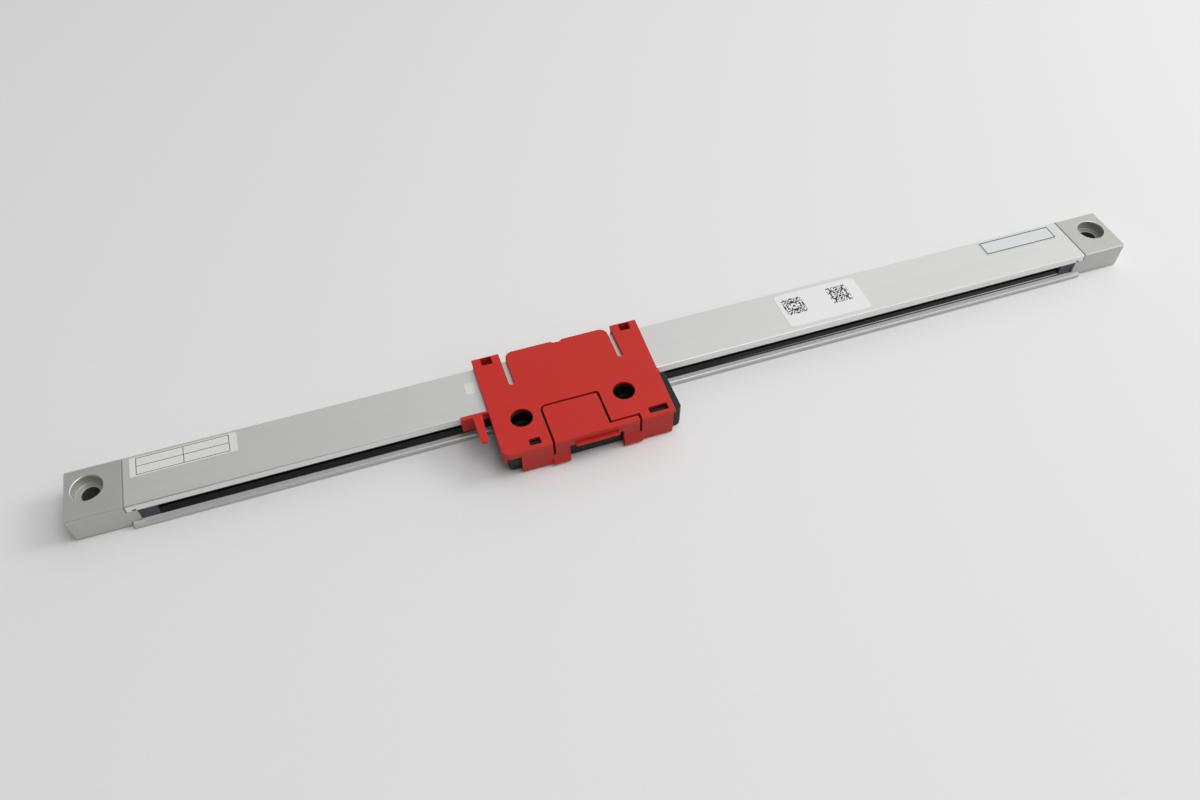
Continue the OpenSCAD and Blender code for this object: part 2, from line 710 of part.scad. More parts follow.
// A guide roller is a miniature bearing: a rim with a groove each side between its two races
module roller() {
  bore = pin_d + 0.1;
  rotate_extrude() difference() {
    rect(bore / 2, roller_d / 2, -roller_w / 2, roller_w / 2);
    for (s = [-1, 1])
      translate([(bore + roller_d) / 4, s * roller_w / 2]) square([roller_d * 0.09, 0.3], center = true);
  }
}
module top_roller(x, y) {
  color("#c9ccd0") at_head() translate([x, y, top_axle_z]) rotate([90, 0, 0]) roller();
}
module edge_roller(x) {
  color("#c9ccd0") at_head() translate([x, edge_axle_y, glass_z + glass_t / 2]) roller();
}
module top_roller_left() { top_roller(-roller_x, back_roller_y); }
module top_roller_right() { top_roller(roller_x, back_roller_y); }
module top_roller_front() { top_roller(0, front_roller_y); }
module edge_roller_left() { edge_roller(-roller_x); }
module edge_roller_right() { edge_roller(roller_x); }
module lamp() {
  color("#e8e4c8") at_head() {
    rod_z(c_low, c_low + 0.7, 0, lens_y, lens_d - eps);
    rod_z(c_low + 0.6, c_low + 0.9, 0, lens_y, lens_d * 0.6);
    intersection() {
      translate([0, lens_y, c_low + 0.9]) sphere(d = lens_d * 0.6);
      rod_z(c_low + 0.8, c_low + 3, 0, lens_y, lens_d);
    }
  }
}
module condenser_lens() {
  rise = 0.35;
  r = (pow(lens_d / 2, 2) + pow(rise, 2)) / (2 * rise);
  z = c_low_top - 0.05;
  color("lightblue", 0.5) at_head() intersection() {
    rod_z(z - 0.6, z, 0, lens_y, lens_d - eps);
    translate([0, lens_y, z - r]) sphere(r = r);
  }
}
module scanning_reticle() {
  color("lightblue", 0.5) at_head()
    slab(-window_x, window_x, window_y0, window_y1, c_high, c_high + reticle_t);
}
module photocell_board() {
  color("darkgreen") at_head()
    slab(-window_x, window_x, window_y0, window_y1, photo_z, photo_z + photo_t);
}
module photocells() {
  color("#202040") at_head() for (x = [-6:4:6])
    slab(x - 1.5, x + 1.5, lens_y - 1.1, lens_y + 1.1, photo_z - 0.4, photo_z);
}

// ---------------------------------------------------------------- shipping brace
module brace_plan() {
  slit_x = arm_x - arm_w - slit_w / 2;
  slit_end = wall_y0 + slit_from_front;
  mid_back = back_y - 0.6;
  mid_x = slit_x - slit_w / 2;
  difference() {
    polygon([[-arm_x, back_y], [-arm_x - 0.4, wall_y0], [arm_x - 2, wall_y0], [arm_x, back_y]]);
    corner_off(-arm_x - 0.4, wall_y0, corner_r, 1, 1);
    rect(-mid_x - eps, mid_x + eps, mid_back, back_y + over);
    for (s = [-1, 1]) {
      translate([s * slit_x, slit_end]) circle(d = slit_w);
      rect(s * slit_x - slit_w / 2, s * slit_x + slit_w / 2, slit_end, back_y + over);
      corner_off(s * mid_x, mid_back, corner_r, -s, -1);
    }
    polygon([[-2.8, mid_back + eps], [-1.3, mid_back - 1.2], [2.3, mid_back - 1.2],
             [3.8, mid_back + eps]]);
  }
}
// the latch tab and, grown by the groove, the opening that it lies in
module tab_plan(g) {
  r = 2.4 + g;
  difference() {
    rect(tab_left - g, tab_right + g, wall_y0 - over, tab_back + g);
    corner_off(tab_left - g, tab_back + g, r, 1, -1);
    corner_off(tab_right + g, tab_back + g, r / 2, -1, -1);
  }
  rect(tab_left - g, tab_end + g, wall_y0 - over, tab_step + g);
}
module shipping_brace() {
  vents = [[-32.4, -26.5], [31.5, 41.8]];
  wall_left = -37.9;
  wall_right = 43.5;
  skirt_z = 13;
  window_w = 5.9;
  window_u = arm_x - arm_w / 2;         // a window over each barb that holds the housing's back
  barb_z1 = 12;
  hole_u = hole_pitch / 2;
  hole_mid = head_x - brace_x;
  color("#c8302a") at_brace() difference() {
    union() {
      run_z(p_z0, p_z1) brace_plan();
      // skirt along the front, round the left corner, and the walls that reach down
      run_z(skirt_z, p_z0 + eps) intersection() {
        brace_plan();
        union() {
          rect(-arm_x - over, wall_left + eps, wall_y0 - over, wall_y1);
          translate([-arm_x - 0.4 + corner_r, wall_y0 + corner_r]) difference() {
            rotate(180) square(corner_r + over);
            circle(r = corner_r - brace_wall + clip_gap);
          }
        }
      }
      slab(wall_left, tab_left - groove_w, wall_y0, wall_y1, foot, p_z0 + eps);
      slab(tab_end + groove_w, wall_right, wall_y0, wall_y1, foot, p_z0 + eps);
      run_x(tab_left - groove_w - 0.4, leg_left) leg_section();
      run_x(leg_right, tab_end + groove_w + 0.4) leg_section();
      slab(-arm_x - 0.3, b_x0 + head_x - brace_x - clip_gap, wall_y1 - eps, wall_y1 + 3.4,
           p_z0 - 6.6, p_z0 + eps);
      for (s = [-1, 1]) {
        slab(s * window_u - 7.2, s * window_u + 7.2, back_y - back_wall, back_y, 3, p_z0 + eps);
        run_x(s * window_u - window_w / 2 + 0.2, s * window_u + window_w / 2 - 0.2) polygon([
          [back_y - back_wall + eps, barb_z1 - 8], [back_y - back_wall + eps, barb_z1],
          [back_y - back_wall, barb_z1], [y_back + clip_gap, barb_z1 - 3],
          [y_back + clip_gap, barb_z1 - 5], [back_y - back_wall, barb_z1 - 8]]);
      }
      slab(arm_x - 9.6, arm_x, b_y1 + clip_gap, y_front - clip_gap, slot_top - 2,
           p_z0 + eps);
      slab(hook_axis[0] + flex_gap / 2, -arm_x + over, hook_y1 - 1.2, hook_y1, p_z0 - 3.4, p_z1);
    }
    for (s = [-1, 1]) {
      rod_z(p_z0 - over, p_z1 + over, hole_mid + s * hole_u, hole_y, access_d);
      slab(s * window_u - window_w / 2, s * window_u + window_w / 2, y_back - 1.05, back_y - 0.4,
           barb_z1, p_z1 + over);
    }
    for (u = vents) slab(u[0], u[1], wall_y1 - eps, wall_y1 + 4, p_z0 - over, p_z1 + over);
    run_z(bend_z - flex_gap / 2, p_z1 + over) tab_plan(groove_w);
  }
}
// a brace leg below the bend line: it sweeps out from the wall to stand proud at its rounded foot
module leg_section() {
  top = bend_z - flex_gap / 2;
  proud = 1.5;
  drop = top - foot - 2.2;
  flare_r = (proud * proud + drop * drop) / (2 * proud);
  difference() {
    rect(wall_y0 - proud, wall_y1, foot, top);
    translate([wall_y0 - flare_r, top]) circle(r = flare_r);
    corner_off(wall_y0 - proud, foot, 1.2, 1, 1);
  }
}
module brace_latch() {
  ledge_mid = (leg_left + leg_right) / 2 + 0.2;
  ledge_x0 = ledge_mid - ledge_l / 2;
  ledge_x1 = ledge_mid + ledge_l / 2;
  ledge_t = 1.5;
  ledge_out = 1.7;
  ledge_r = 1.1;
  color("#d23a33") at_brace() {
    run_z(p_z0, p_z1) intersection() {
      brace_plan();
      tab_plan(0);
    }
    difference() {
      slab(tab_left, tab_end, wall_y0, wall_y1, bend_z + flex_gap / 2, p_z0 + eps);
      slab(leg_left, leg_right, wall_y0 - over, wall_y1 + over, 0, sill_z);
    }
    run_y(wall_y0 - ledge_out, wall_y0 + eps) difference() {
      rect(ledge_x0, ledge_x1, sill_z, sill_z + ledge_t);
      corner_off(ledge_x0, sill_z, ledge_r, 1, 1);
      corner_off(ledge_x1, sill_z, ledge_r, -1, 1);
    }
  }
}
module brace_hook() {
  wall_x1 = -arm_x - 3.7;
  wall_x0 = wall_x1 - hook_l;
  tip_x = wall_x1 - 2.85;
  tip_y = wall_y0 + 13.7;
  tip_r = 1.85;
  color("#c8302a") at_brace() {
    run_y(hook_y1 - hook_t, hook_y1) difference() {
      rect(wall_x0, wall_x1, slot_top - 2.7, p_z1);
      corner_off(wall_x0, slot_top - 2.7, 1.2, 1, 1);
    }
    slab(wall_x1 - eps, hook_axis[0] - flex_gap / 2, hook_y1 - 1.2, hook_y1, p_z0 - 3.4, p_z1);
    run_z(p_z0, p_z1) {
      polygon([[wall_x1 - 5, hook_y1 - hook_t + eps], [wall_x1, hook_y1 - hook_t + eps],
               [tip_x + tip_r, tip_y], [tip_x - tip_r, tip_y]]);
      translate([tip_x, tip_y]) circle(r = tip_r);
    }
  }
}

scale_housing();
end_block_left();
end_block_right();
end_gasket_left();
end_gasket_right();
end_screws();
air_inlet_plugs();
sealing_lip_upper();
sealing_lip_lower();
lip_filler_left();
lip_filler_right();
glass_scale();
line_graduation();
glass_bond();
glass_hold_cord();
id_label();
code_label();
date_label();
position_sticker();
mounting_block();
block_cover();
cover_gasket();
cover_screws();
circuit_board();
board_chips();
cable_socket();
socket_pins();
socket_lead();
blade();
blade_screws();
flex_lead();
coupling_rod();
preload_spring();
carriage_frame();
roller_pins();
lamp();
condenser_lens();
scanning_reticle();
photocell_board();
photocells();
top_roller_left();
top_roller_right();
top_roller_front();
edge_roller_left();
edge_roller_right();
shipping_brace();
brace_latch();
brace_hook();
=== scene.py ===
import json
import math

import bmesh
import bpy
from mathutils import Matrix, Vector
from mathutils.bvhtree import BVHTree


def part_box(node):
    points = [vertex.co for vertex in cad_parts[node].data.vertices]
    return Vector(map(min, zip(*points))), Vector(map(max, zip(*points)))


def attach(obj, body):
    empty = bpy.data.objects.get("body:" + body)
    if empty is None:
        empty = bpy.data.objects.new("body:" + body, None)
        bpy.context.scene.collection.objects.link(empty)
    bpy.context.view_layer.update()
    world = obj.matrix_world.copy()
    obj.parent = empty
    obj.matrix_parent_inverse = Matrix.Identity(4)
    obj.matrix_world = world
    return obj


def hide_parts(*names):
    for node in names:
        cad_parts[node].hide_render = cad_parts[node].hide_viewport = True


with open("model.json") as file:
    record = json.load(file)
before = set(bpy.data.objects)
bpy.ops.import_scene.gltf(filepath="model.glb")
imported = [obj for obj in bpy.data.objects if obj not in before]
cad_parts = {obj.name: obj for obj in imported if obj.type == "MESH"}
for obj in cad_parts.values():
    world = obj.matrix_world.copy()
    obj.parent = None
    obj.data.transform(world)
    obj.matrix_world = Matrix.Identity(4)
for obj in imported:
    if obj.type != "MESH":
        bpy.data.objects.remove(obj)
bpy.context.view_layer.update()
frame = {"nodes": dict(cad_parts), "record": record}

# ---------------------------------------------------------------- camera
# A 30 mm view from the front left, well above the scale and turned a little towards its right end, with its
# whole length in the frame.
camera_data = bpy.data.cameras.new("camera")
camera_data.lens = 29.982
camera_data.sensor_width = 36
camera_data.clip_start = 0.02
camera = bpy.data.objects.new("camera", camera_data)
camera.location = (-0.13567, -0.34490, 0.41620)
camera.rotation_euler = (0.6909363, 0.0097798, -0.3254182)
bpy.context.scene.collection.objects.link(camera)
bpy.context.scene.camera = camera


# ---------------------------------------------------------------- housing
# One aluminium extrusion, sawn to length and anodised natural. Fine die lines run its whole length, and
# the sharp edges left by the saw and the die are broken.
class Sock:
    """A node's socket that does arithmetic by adding Math nodes to its tree."""

    def __init__(self, nodes, socket):
        self.nodes, self.socket = nodes, socket

    def _maths(self, operation, *values):
        return self.nodes.node("ShaderNodeMath", {"operation": operation}, dict(enumerate(values)))

    def __add__(self, other):
        return self._maths("ADD", self, other)

    def __sub__(self, other):
        return self._maths("SUBTRACT", self, other)

    def __rsub__(self, other):
        return self._maths("SUBTRACT", other, self)

    def __mul__(self, other):
        return self._maths("MULTIPLY", self, other)

    def __truediv__(self, other):
        return self._maths("DIVIDE", self, other)

    def __gt__(self, other):
        return self._maths("GREATER_THAN", self, other)

    def __lt__(self, other):
        return self._maths("LESS_THAN", self, other)

    __radd__, __rmul__ = __add__, __mul__

    def __abs__(self):
        return self._maths("ABSOLUTE", self)

    def floored(self):
        return self._maths("FLOOR", self)

    def either(self, other):
        return self._maths("MAXIMUM", self, other)

    def both(self, other):
        return self._maths("MINIMUM", self, other)

    def root(self):
        return self._maths("SQRT", self)

    def rise(self, low, high):
        """0 up to low, 1 from high, and straight between them."""
        return self.nodes.node("ShaderNodeMapRange", {}, {0: self, 1: low, 2: high})


class Nodes:
    """A node tree with one method that adds any node: first its settings, then its values and links."""

    def node(self, kind, settings, sockets, output=0):
        node = self.tree.nodes.new(kind)
        for key, value in settings.items():
            setattr(node, key, value)
        for key, value in sockets.items():
            if isinstance(value, Sock):
                self.tree.links.new(value.socket, node.inputs[key])
            else:
                node.inputs[key].default_value = value
        return Sock(self, node.outputs[output])


class Finish(Nodes):
    """A procedural material on Object coordinates, in metres."""

    def __init__(self, name, **fixed):
        self.material = bpy.data.materials.new(name)
        self.material.use_nodes = True
        self.tree = self.material.node_tree
        self.shader = self.tree.nodes["Principled BSDF"]
        for socket, value in fixed.items():
            self.shader.inputs[socket.replace("_", " ")].default_value = value

    def place(self):
        return self.node("ShaderNodeTexCoord", {}, {}, "Object")

    def axes(self):
        split = self.node("ShaderNodeSeparateXYZ", {}, {0: self.place()}).socket.node
        return [Sock(self, split.outputs[i]) for i in range(3)]

    def noise(self, grain, detail=2.0, stretch=(1, 1, 1)):
        """Noise with grains of that many metres, stretched along an axis by a factor above 1."""
        place = self.node("ShaderNodeMapping", {}, {
            "Vector": self.place(), "Scale": [1 / s for s in stretch]})
        return self.node("ShaderNodeTexNoise", {}, {"Vector": place, "Scale": 1 / grain, "Detail": detail})

    def mix(self, factor, a, b):
        """Colour a where factor is 0, and colour b where it is 1."""
        return self.node("ShaderNodeMix", {"data_type": "RGBA"}, {0: factor, 6: a, 7: b}, 2)

    def varies(self, **links):
        for socket, value in links.items():
            self.tree.links.new(value.socket, self.shader.inputs[socket.replace("_", " ")])

    def bump(self, height, depth, strength=0.6):
        self.varies(Normal=self.node("ShaderNodeBump", {}, {
            "Height": height, "Distance": depth, "Strength": strength}))


def tint(red, green, blue):
    """A colour as it looks on a display, 0 to 255, as the linear colour that a socket takes."""
    return tuple(((v / 255 + 0.055) / 1.055) ** 2.4 for v in (red, green, blue)) + (1,)


mm = 0.001
# Faces that bend less than flat are one face, and edges that bend more than sharp are broken. A cut takes in
# any corner within snap of it, and what is within a hair of a plane lies on it.
flat, sharp = math.radians(0.6), math.radians(32)
snap, hair = 0.06 * mm, 0.001 * mm


def bends(edge, angle=flat):
    return len(edge.link_faces) == 2 and edge.calc_face_angle() > angle


def linked(neighbours, left):
    """Takes from left, a dict in a fixed order, its first member and all that hangs together with it."""
    found = [next(iter(left))]
    del left[found[0]]
    for member in found:
        for other in neighbours(member):
            if other in left:
                del left[other]
                found.append(other)
    return found


def join_flat_faces(shape):
    """Joins the triangles of each flat face. A face with holes is first cut straight across every hole,
    because one face can't go round a hole."""
    parallel = 0.9999
    cuts = []
    faces = dict.fromkeys(shape.faces)
    while faces:
        level = linked(lambda f: [o for e in f.edges if not bends(e) for o in e.link_faces], faces)
        face = level[0]
        rim = dict.fromkeys(edge for part in level for edge in part.edges if bends(edge))
        loops = []
        while rim:
            loop = linked(lambda e: [o for v in e.verts for o in v.link_edges], rim)
            loops.append([vert.co.copy() for edge in loop for vert in edge.verts])
        if len(loops) == 1:
            continue

        def reach(loop, along):
            places = [place.dot(along) for place in loop]
            return max(places) - min(places)

        axes = [axis for axis in (Vector((1, 0, 0)), Vector((0, 1, 0)), Vector((0, 0, 1)))
                if abs(axis.dot(face.normal)) < 0.5]
        along = max(axes, key=lambda axis: max(reach(loop, axis) for loop in loops))
        loops.sort(key=lambda loop: max(reach(loop, axis) for axis in axes))
        for hole in loops[:-1]:
            places = [place.dot(along) for place in hole]
            middle = (min(places) + max(places)) / 2
            nearest = min(hole, key=lambda place: abs(place.dot(along) - middle))
            cuts.append((nearest, along, face.normal.copy()))
    for place, along, normal in cuts:
        level = [f for f in shape.faces
                 if abs(f.normal.dot(normal)) > parallel and abs((f.verts[0].co - place).dot(normal)) < hair]
        parts = dict.fromkeys(part for f in level for part in (*f.verts, *f.edges))
        bmesh.ops.bisect_plane(shape, geom=level + list(parts), dist=snap, plane_co=place, plane_no=along)

    def on_cut(edge):
        return any(all(abs((v.co - place).dot(along)) < snap and abs((v.co - place).dot(normal)) < hair
                       for v in edge.verts) for place, along, normal in cuts)

    bmesh.ops.dissolve_limit(shape, angle_limit=flat, verts=shape.verts,
                             edges=[e for e in shape.edges if bends(e) or not on_cut(e)])


def room_beside(edge, width):
    """How wide an edge can be broken, up to width, so that it and the edge facing it both have room."""
    under_half = 0.45
    first, last = (vert.co for vert in edge.verts)
    middle = (first + last) / 2
    reaches = [width / under_half]
    for loop in edge.link_loops:
        along = (loop.link_loop_next.vert.co - loop.vert.co).normalized()
        inward = loop.face.normal.cross(along)
        for other in loop.face.edges:
            # p and r say how far inward the other edge's ends lie, and q and s how far along.
            (p, q), (r, s) = [((v.co - middle).dot(inward), (v.co - middle).dot(along)) for v in other.verts]
            if other is not edge and bends(other) and q * s <= 0 and q != s:
                reaches.append(p + (r - p) * q / (q - s))
    for vert in edge.verts:
        for other in vert.link_edges:
            side = other.other_vert(vert).co - vert.co
            if other is not edge and abs(side.normalized().dot((last - first).normalized())) < 0.8:
                reaches.append(side.length)
    return under_half * min(reach for reach in reaches if reach > 0.1 * hair)


def eased(node, finish, width, edge=None, weld=0.002 * mm, marks=(), edge_marks=(), even=False):
    """Stands for a CAD piece: its triangles joined into whole faces, and its outer edges broken by width, or
    by less where there is less room, unless even is set. Inner edges stay sharp. edge is the finish of the
    broken edges. marks and edge_marks are (finish, test) pairs for faces and broken edges that differ."""
    piece = bpy.data.objects.new(node + "_eased", frame["nodes"][node].data.copy())
    bpy.context.scene.collection.objects.link(piece)
    shape = bmesh.new()
    shape.from_mesh(piece.data)
    bmesh.ops.remove_doubles(shape, verts=shape.verts, dist=weld)
    bmesh.ops.dissolve_degenerate(shape, edges=shape.edges, dist=weld)
    shape.normal_update()
    join_flat_faces(shape)
    shape.normal_update()
    share = shape.edges.layers.float.new("bevel_weight_edge")
    for corner in shape.edges:
        if bends(corner, sharp):
            if even or corner.is_convex:
                corner[share] = 1 if even else room_beside(corner, width) / width
            else:
                corner.smooth = False
    finishes = [finish] + ([edge] if edge else [])
    for face in shape.faces:
        face.smooth = True
        face.material_index = 0
    for other, test in marks:
        finishes.append(other)
        for face in shape.faces:
            if test(face.calc_center_median(), face.normal):
                face.material_index = len(finishes) - 1
    piece.data.materials.clear()
    for each in finishes:
        piece.data.materials.append(each.material)
    shape.to_mesh(piece.data)
    shape.free()
    bevel = piece.modifiers.new("broken_edges", "BEVEL")
    bevel.width = width
    bevel.segments = 2
    bevel.limit_method = "WEIGHT"
    bevel.use_clamp_overlap = False
    bevel.miter_outer = "MITER_ARC"
    if edge:
        bevel.material = 1
    flats = piece.modifiers.new("flat_faces_stay_flat", "WEIGHTED_NORMAL")
    flats.keep_sharp = True
    flats.weight = 90
    plain(piece)
    for other, test in edge_marks:
        piece.data.materials.append(other.material)
        for face in piece.data.polygons:
            if face.material_index == 1 and test(face.center):
                face.material_index = len(piece.data.materials) - 1
    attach(piece, body_of[node])
    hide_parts(node)


def plain(piece):
    """Turns what a piece's modifiers make into its plain mesh."""
    bpy.context.view_layer.update()
    shape = bpy.data.meshes.new_from_object(piece.evaluated_get(bpy.context.evaluated_depsgraph_get()))
    piece.modifiers.clear()
    piece.data = shape


body_of = {node: body for body, nodes in frame["record"]["behaviour"]["bodies"].items() for node in nodes}
housing_low, housing_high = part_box("scale_housing")
flange_z = 6 * mm

# The foot of the front face is painted darker than the rest, as painted shade where it meets the floor.
extrusion = Finish("anodised_extrusion", Metallic=0.5)
die_lines = extrusion.noise(0.7 * mm, 3, stretch=(220, 1, 1))
matt_grain = extrusion.noise(0.09 * mm, 2)
handling = extrusion.noise(38 * mm, 3, stretch=(2.2, 1, 1))
x, y, z = extrusion.axes()
foot_y, foot_z = -20.4 * mm, 2.3 * mm
foot_shade = (y < foot_y).both(z < foot_z)
drawn = extrusion.mix(die_lines * 0.6 + handling * 0.4, tint(205, 205, 203), tint(222, 222, 220))
extrusion.varies(
    Base_Color=extrusion.mix(foot_shade * 0.35, drawn, tint(150, 150, 148)),
    Roughness=0.32 + die_lines * 0.08 + matt_grain * 0.06 + handling * 0.05)
extrusion.bump(die_lines * 0.7 + matt_grain * 0.3, 0.012 * mm)

extrusion_edge = Finish("anodised_extrusion_edge", Metallic=0.95)
edge_wear = extrusion_edge.noise(3 * mm, 4, stretch=(5, 1, 1))
extrusion_edge.varies(
    Base_Color=extrusion_edge.mix(edge_wear, tint(222, 222, 220), tint(240, 240, 238)),
    Roughness=0.24 + edge_wear * 0.14)

# The ledge in front of the lips and the face of the upper flange are skimmed after anodising. The face and
# the
# back of the ledge are painted brightest: painted light, which at the back of the ledge fills the shade
# there.
skimmed = Finish("skimmed_faces", Metallic=0.2)
feed = skimmed.noise(0.4 * mm, 3, stretch=(40, 1, 1))
x, y, z = skimmed.axes()
ledge_front, ledge_back = -19.4 * mm, -17.7 * mm
painted_fill_light = (z > flange_z).either(y.rise(ledge_front, ledge_back))
feed_tint = skimmed.mix(feed, tint(204, 204, 203), tint(216, 216, 215))
skimmed.varies(
    Base_Color=skimmed.mix(painted_fill_light, feed_tint, tint(236, 236, 235)),
    Roughness=0.34 + feed * 0.12)
skimmed.bump(feed, 0.008 * mm)
ledge_z, ledge_deep, flange_face_z = 4 * mm, 3.2 * mm, 11 * mm


def skimmed_face(place, normal):
    on_ledge = normal.z > 0.9 and place.z < ledge_z and place.y < housing_low.y + ledge_deep
    on_flange = normal.y < -0.9 and place.z > flange_face_z
    return on_ledge or on_flange


def chamfer(place, normal):
    return normal.y < -0.5 and normal.z > 0.5 and place.z > flange_z


def sawn_end(place):
    return abs(place.x) > housing_high.x - 0.3 * mm


eased("scale_housing", extrusion, 0.12 * mm, extrusion_edge,
      marks=[(skimmed, skimmed_face), (extrusion_edge, chamfer)], edge_marks=[(extrusion, sawn_end)])


# ---------------------------------------------------------------- end blocks
# Two blocks milled from bar, blasted with fine beads and anodised. The counterbore was turned afterwards,
# so its wall and rim are brighter and carry rings from the cutter.
scale_bolts = frame["record"]["mounts"][0]["dims"]
bolt_x, bolt_r = scale_bolts["spacing_x_mm"] / 2 * mm, scale_bolts["hole_r_mm"] * mm
cbore_r, rim_w, skin = 7.5 * mm, 0.9 * mm, 1 * mm
end_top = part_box("end_block_right")[1].z

blasted = Finish("blasted_anodised", Metallic=0.5)
beads = blasted.noise(0.16 * mm, 3)
cloud = blasted.noise(9 * mm, 3)
blasted.varies(
    Base_Color=blasted.mix(beads * 0.55 + cloud * 0.45, tint(179, 179, 174), tint(200, 200, 195)),
    Roughness=0.38 + beads * 0.12 + cloud * 0.05)
blasted.bump(beads, 0.03 * mm)

turned = Finish("turned_counterbore", Metallic=0.45)
x, y, z = turned.axes()
off_axis = abs(x) - bolt_x
ring = (off_axis * off_axis + y * y).root()
cut = turned.node("ShaderNodeTexNoise", {"noise_dimensions": "1D"}, {"W": ring, "Scale": 4200, "Detail": 2})
turned.varies(
    Base_Color=turned.mix(cut, tint(166, 167, 160), tint(202, 203, 196)),
    Roughness=0.24 + cut * 0.16)
turned.bump(cut, 0.01 * mm)

# The drill left the hole itself rough, and the hole is painted dark, as painted shade in its depth.
drilled = Finish("drilled_hole", Specular_IOR_Level=0.3)
rifling = drilled.noise(0.3 * mm, 3)
drilled.varies(
    Base_Color=drilled.mix(rifling, tint(68, 68, 62), tint(98, 98, 90)),
    Roughness=0.5 + rifling * 0.2)
drilled.bump(rifling, 0.04 * mm)


def in_counterbore(place, normal):
    radius = math.hypot(abs(place.x) - bolt_x, place.y)
    on_wall = radius < cbore_r + rim_w and abs(normal.z) < 0.95
    on_floor = radius < cbore_r and skin < place.z < end_top - skin
    return on_wall or on_floor


def in_hole(place, normal):
    return math.hypot(abs(place.x) - bolt_x, place.y) < bolt_r + 0.1 * mm and abs(normal.z) < 0.5


def at_joint(place):
    return abs(place.x) < housing_high.x + 1.5 * mm


for node in ("end_block_left", "end_block_right"):
    eased(node, blasted, 0.15 * mm, extrusion_edge, even=True,
          marks=[(turned, in_counterbore), (drilled, in_hole)], edge_marks=[(blasted, at_joint)])


# ---------------------------------------------------------------- end gaskets
# A flat gasket cut from grey elastomer sheet is squeezed between each end block and the housing. The cover
# of the mounting block's well has one of the same sheet.
def dress(node, finish):
    """Gives a CAD piece its finish and leaves its shape."""
    frame["nodes"][node].material_slots[0].material = finish.material


gasket_sheet = Finish("gasket_sheet")
crumb = gasket_sheet.noise(0.3 * mm, 3)
gasket_sheet.varies(
    Base_Color=gasket_sheet.mix(crumb, tint(128, 128, 125), tint(152, 152, 148)),
    Roughness=0.72 + crumb * 0.15)
gasket_sheet.bump(crumb, 0.03 * mm)
for node in ("end_gasket_left", "end_gasket_right", "cover_gasket"):
    dress(node, gasket_sheet)


# ---------------------------------------------------------------- sealing lips
# Two extruded rubber lips are drawn into the grooves of the slot. They bear a fine bloom, the lower one a
# painted highlight line, and a rubber filler closes each end.
lip_rubber = Finish("lip_rubber", Specular_IOR_Level=0.5)
bloom = lip_rubber.noise(1.6 * mm, 4, stretch=(6, 1, 1))
streak = lip_rubber.noise(0.35 * mm, 2, stretch=(160, 1, 1))
lip_rubber.varies(
    Base_Color=lip_rubber.mix(bloom * 0.5 + streak * 0.5, tint(12, 12, 13), tint(28, 28, 29)),
    Roughness=0.36 + bloom * 0.16 + streak * 0.1)
lip_rubber.bump(streak * 0.7 + bloom * 0.3, 0.02 * mm)

# The lower lip also carries a painted highlight: a light line that stands in for a reflection along it and
# grows stronger towards the right.
highlight_z, highlight_half, highlight_from, highlight_full = 3.3 * mm, 0.2 * mm, 40 * mm, 150 * mm
lower_lip_rubber = Finish("lower_lip_rubber", Specular_IOR_Level=0.5)
dust = lower_lip_rubber.noise(1.1 * mm, 4, stretch=(14, 1, 1))
x, y, z = lower_lip_rubber.axes()
painted_highlight = (abs(z - highlight_z) < highlight_half) * x.rise(highlight_from, highlight_full)
rubber = lower_lip_rubber.mix(dust, tint(10, 10, 11), tint(24, 24, 25))
lower_lip_rubber.varies(
    Base_Color=lower_lip_rubber.mix(painted_highlight, rubber, tint(206, 207, 207)),
    Roughness=0.42 + dust * 0.15)
lower_lip_rubber.bump(dust, 0.02 * mm)
dress("sealing_lip_upper", lip_rubber)
dress("sealing_lip_lower", lower_lip_rubber)

filler_rubber = Finish("filler_rubber", Specular_IOR_Level=0.4)
pores = filler_rubber.noise(0.5 * mm, 4)
filler_rubber.varies(
    Base_Color=filler_rubber.mix(pores, tint(52, 55, 59), tint(84, 88, 93)),
    Roughness=0.5 + pores * 0.2)
filler_rubber.bump(pores, 0.05 * mm)
dress("lip_filler_left", filler_rubber)
dress("lip_filler_right", filler_rubber)


# ---------------------------------------------------------------- glass scale and its bedding
# A strip of float glass, ground on its long edges, is bonded to the lower rib with a soft adhesive and
# steadied from above by a rubber cord.
scale_glass = Finish("scale_glass", Transmission_Weight=1.0, IOR=1.52)
ground = scale_glass.noise(0.2 * mm, 2)
scale_glass.varies(
    Base_Color=scale_glass.mix(ground, tint(214, 232, 224), tint(228, 242, 236)),
    Roughness=0.02 + ground * 0.03)
dress("glass_scale", scale_glass)

adhesive = Finish("soft_adhesive", Subsurface_Weight=0.1)
ripple = adhesive.noise(1.2 * mm, 3)
adhesive.varies(
    Base_Color=adhesive.mix(ripple, tint(212, 210, 198), tint(232, 230, 220)),
    Roughness=0.35 + ripple * 0.2)
adhesive.bump(ripple, 0.06 * mm)
dress("glass_bond", adhesive)

black_rubber = Finish("black_rubber", Specular_IOR_Level=0.4)
fine = black_rubber.noise(0.25 * mm, 3)
black_rubber.varies(
    Base_Color=black_rubber.mix(fine, tint(24, 24, 25), tint(44, 44, 45)),
    Roughness=0.55 + fine * 0.2)
black_rubber.bump(fine, 0.03 * mm)
dress("glass_hold_cord", black_rubber)
dress("socket_lead", black_rubber)


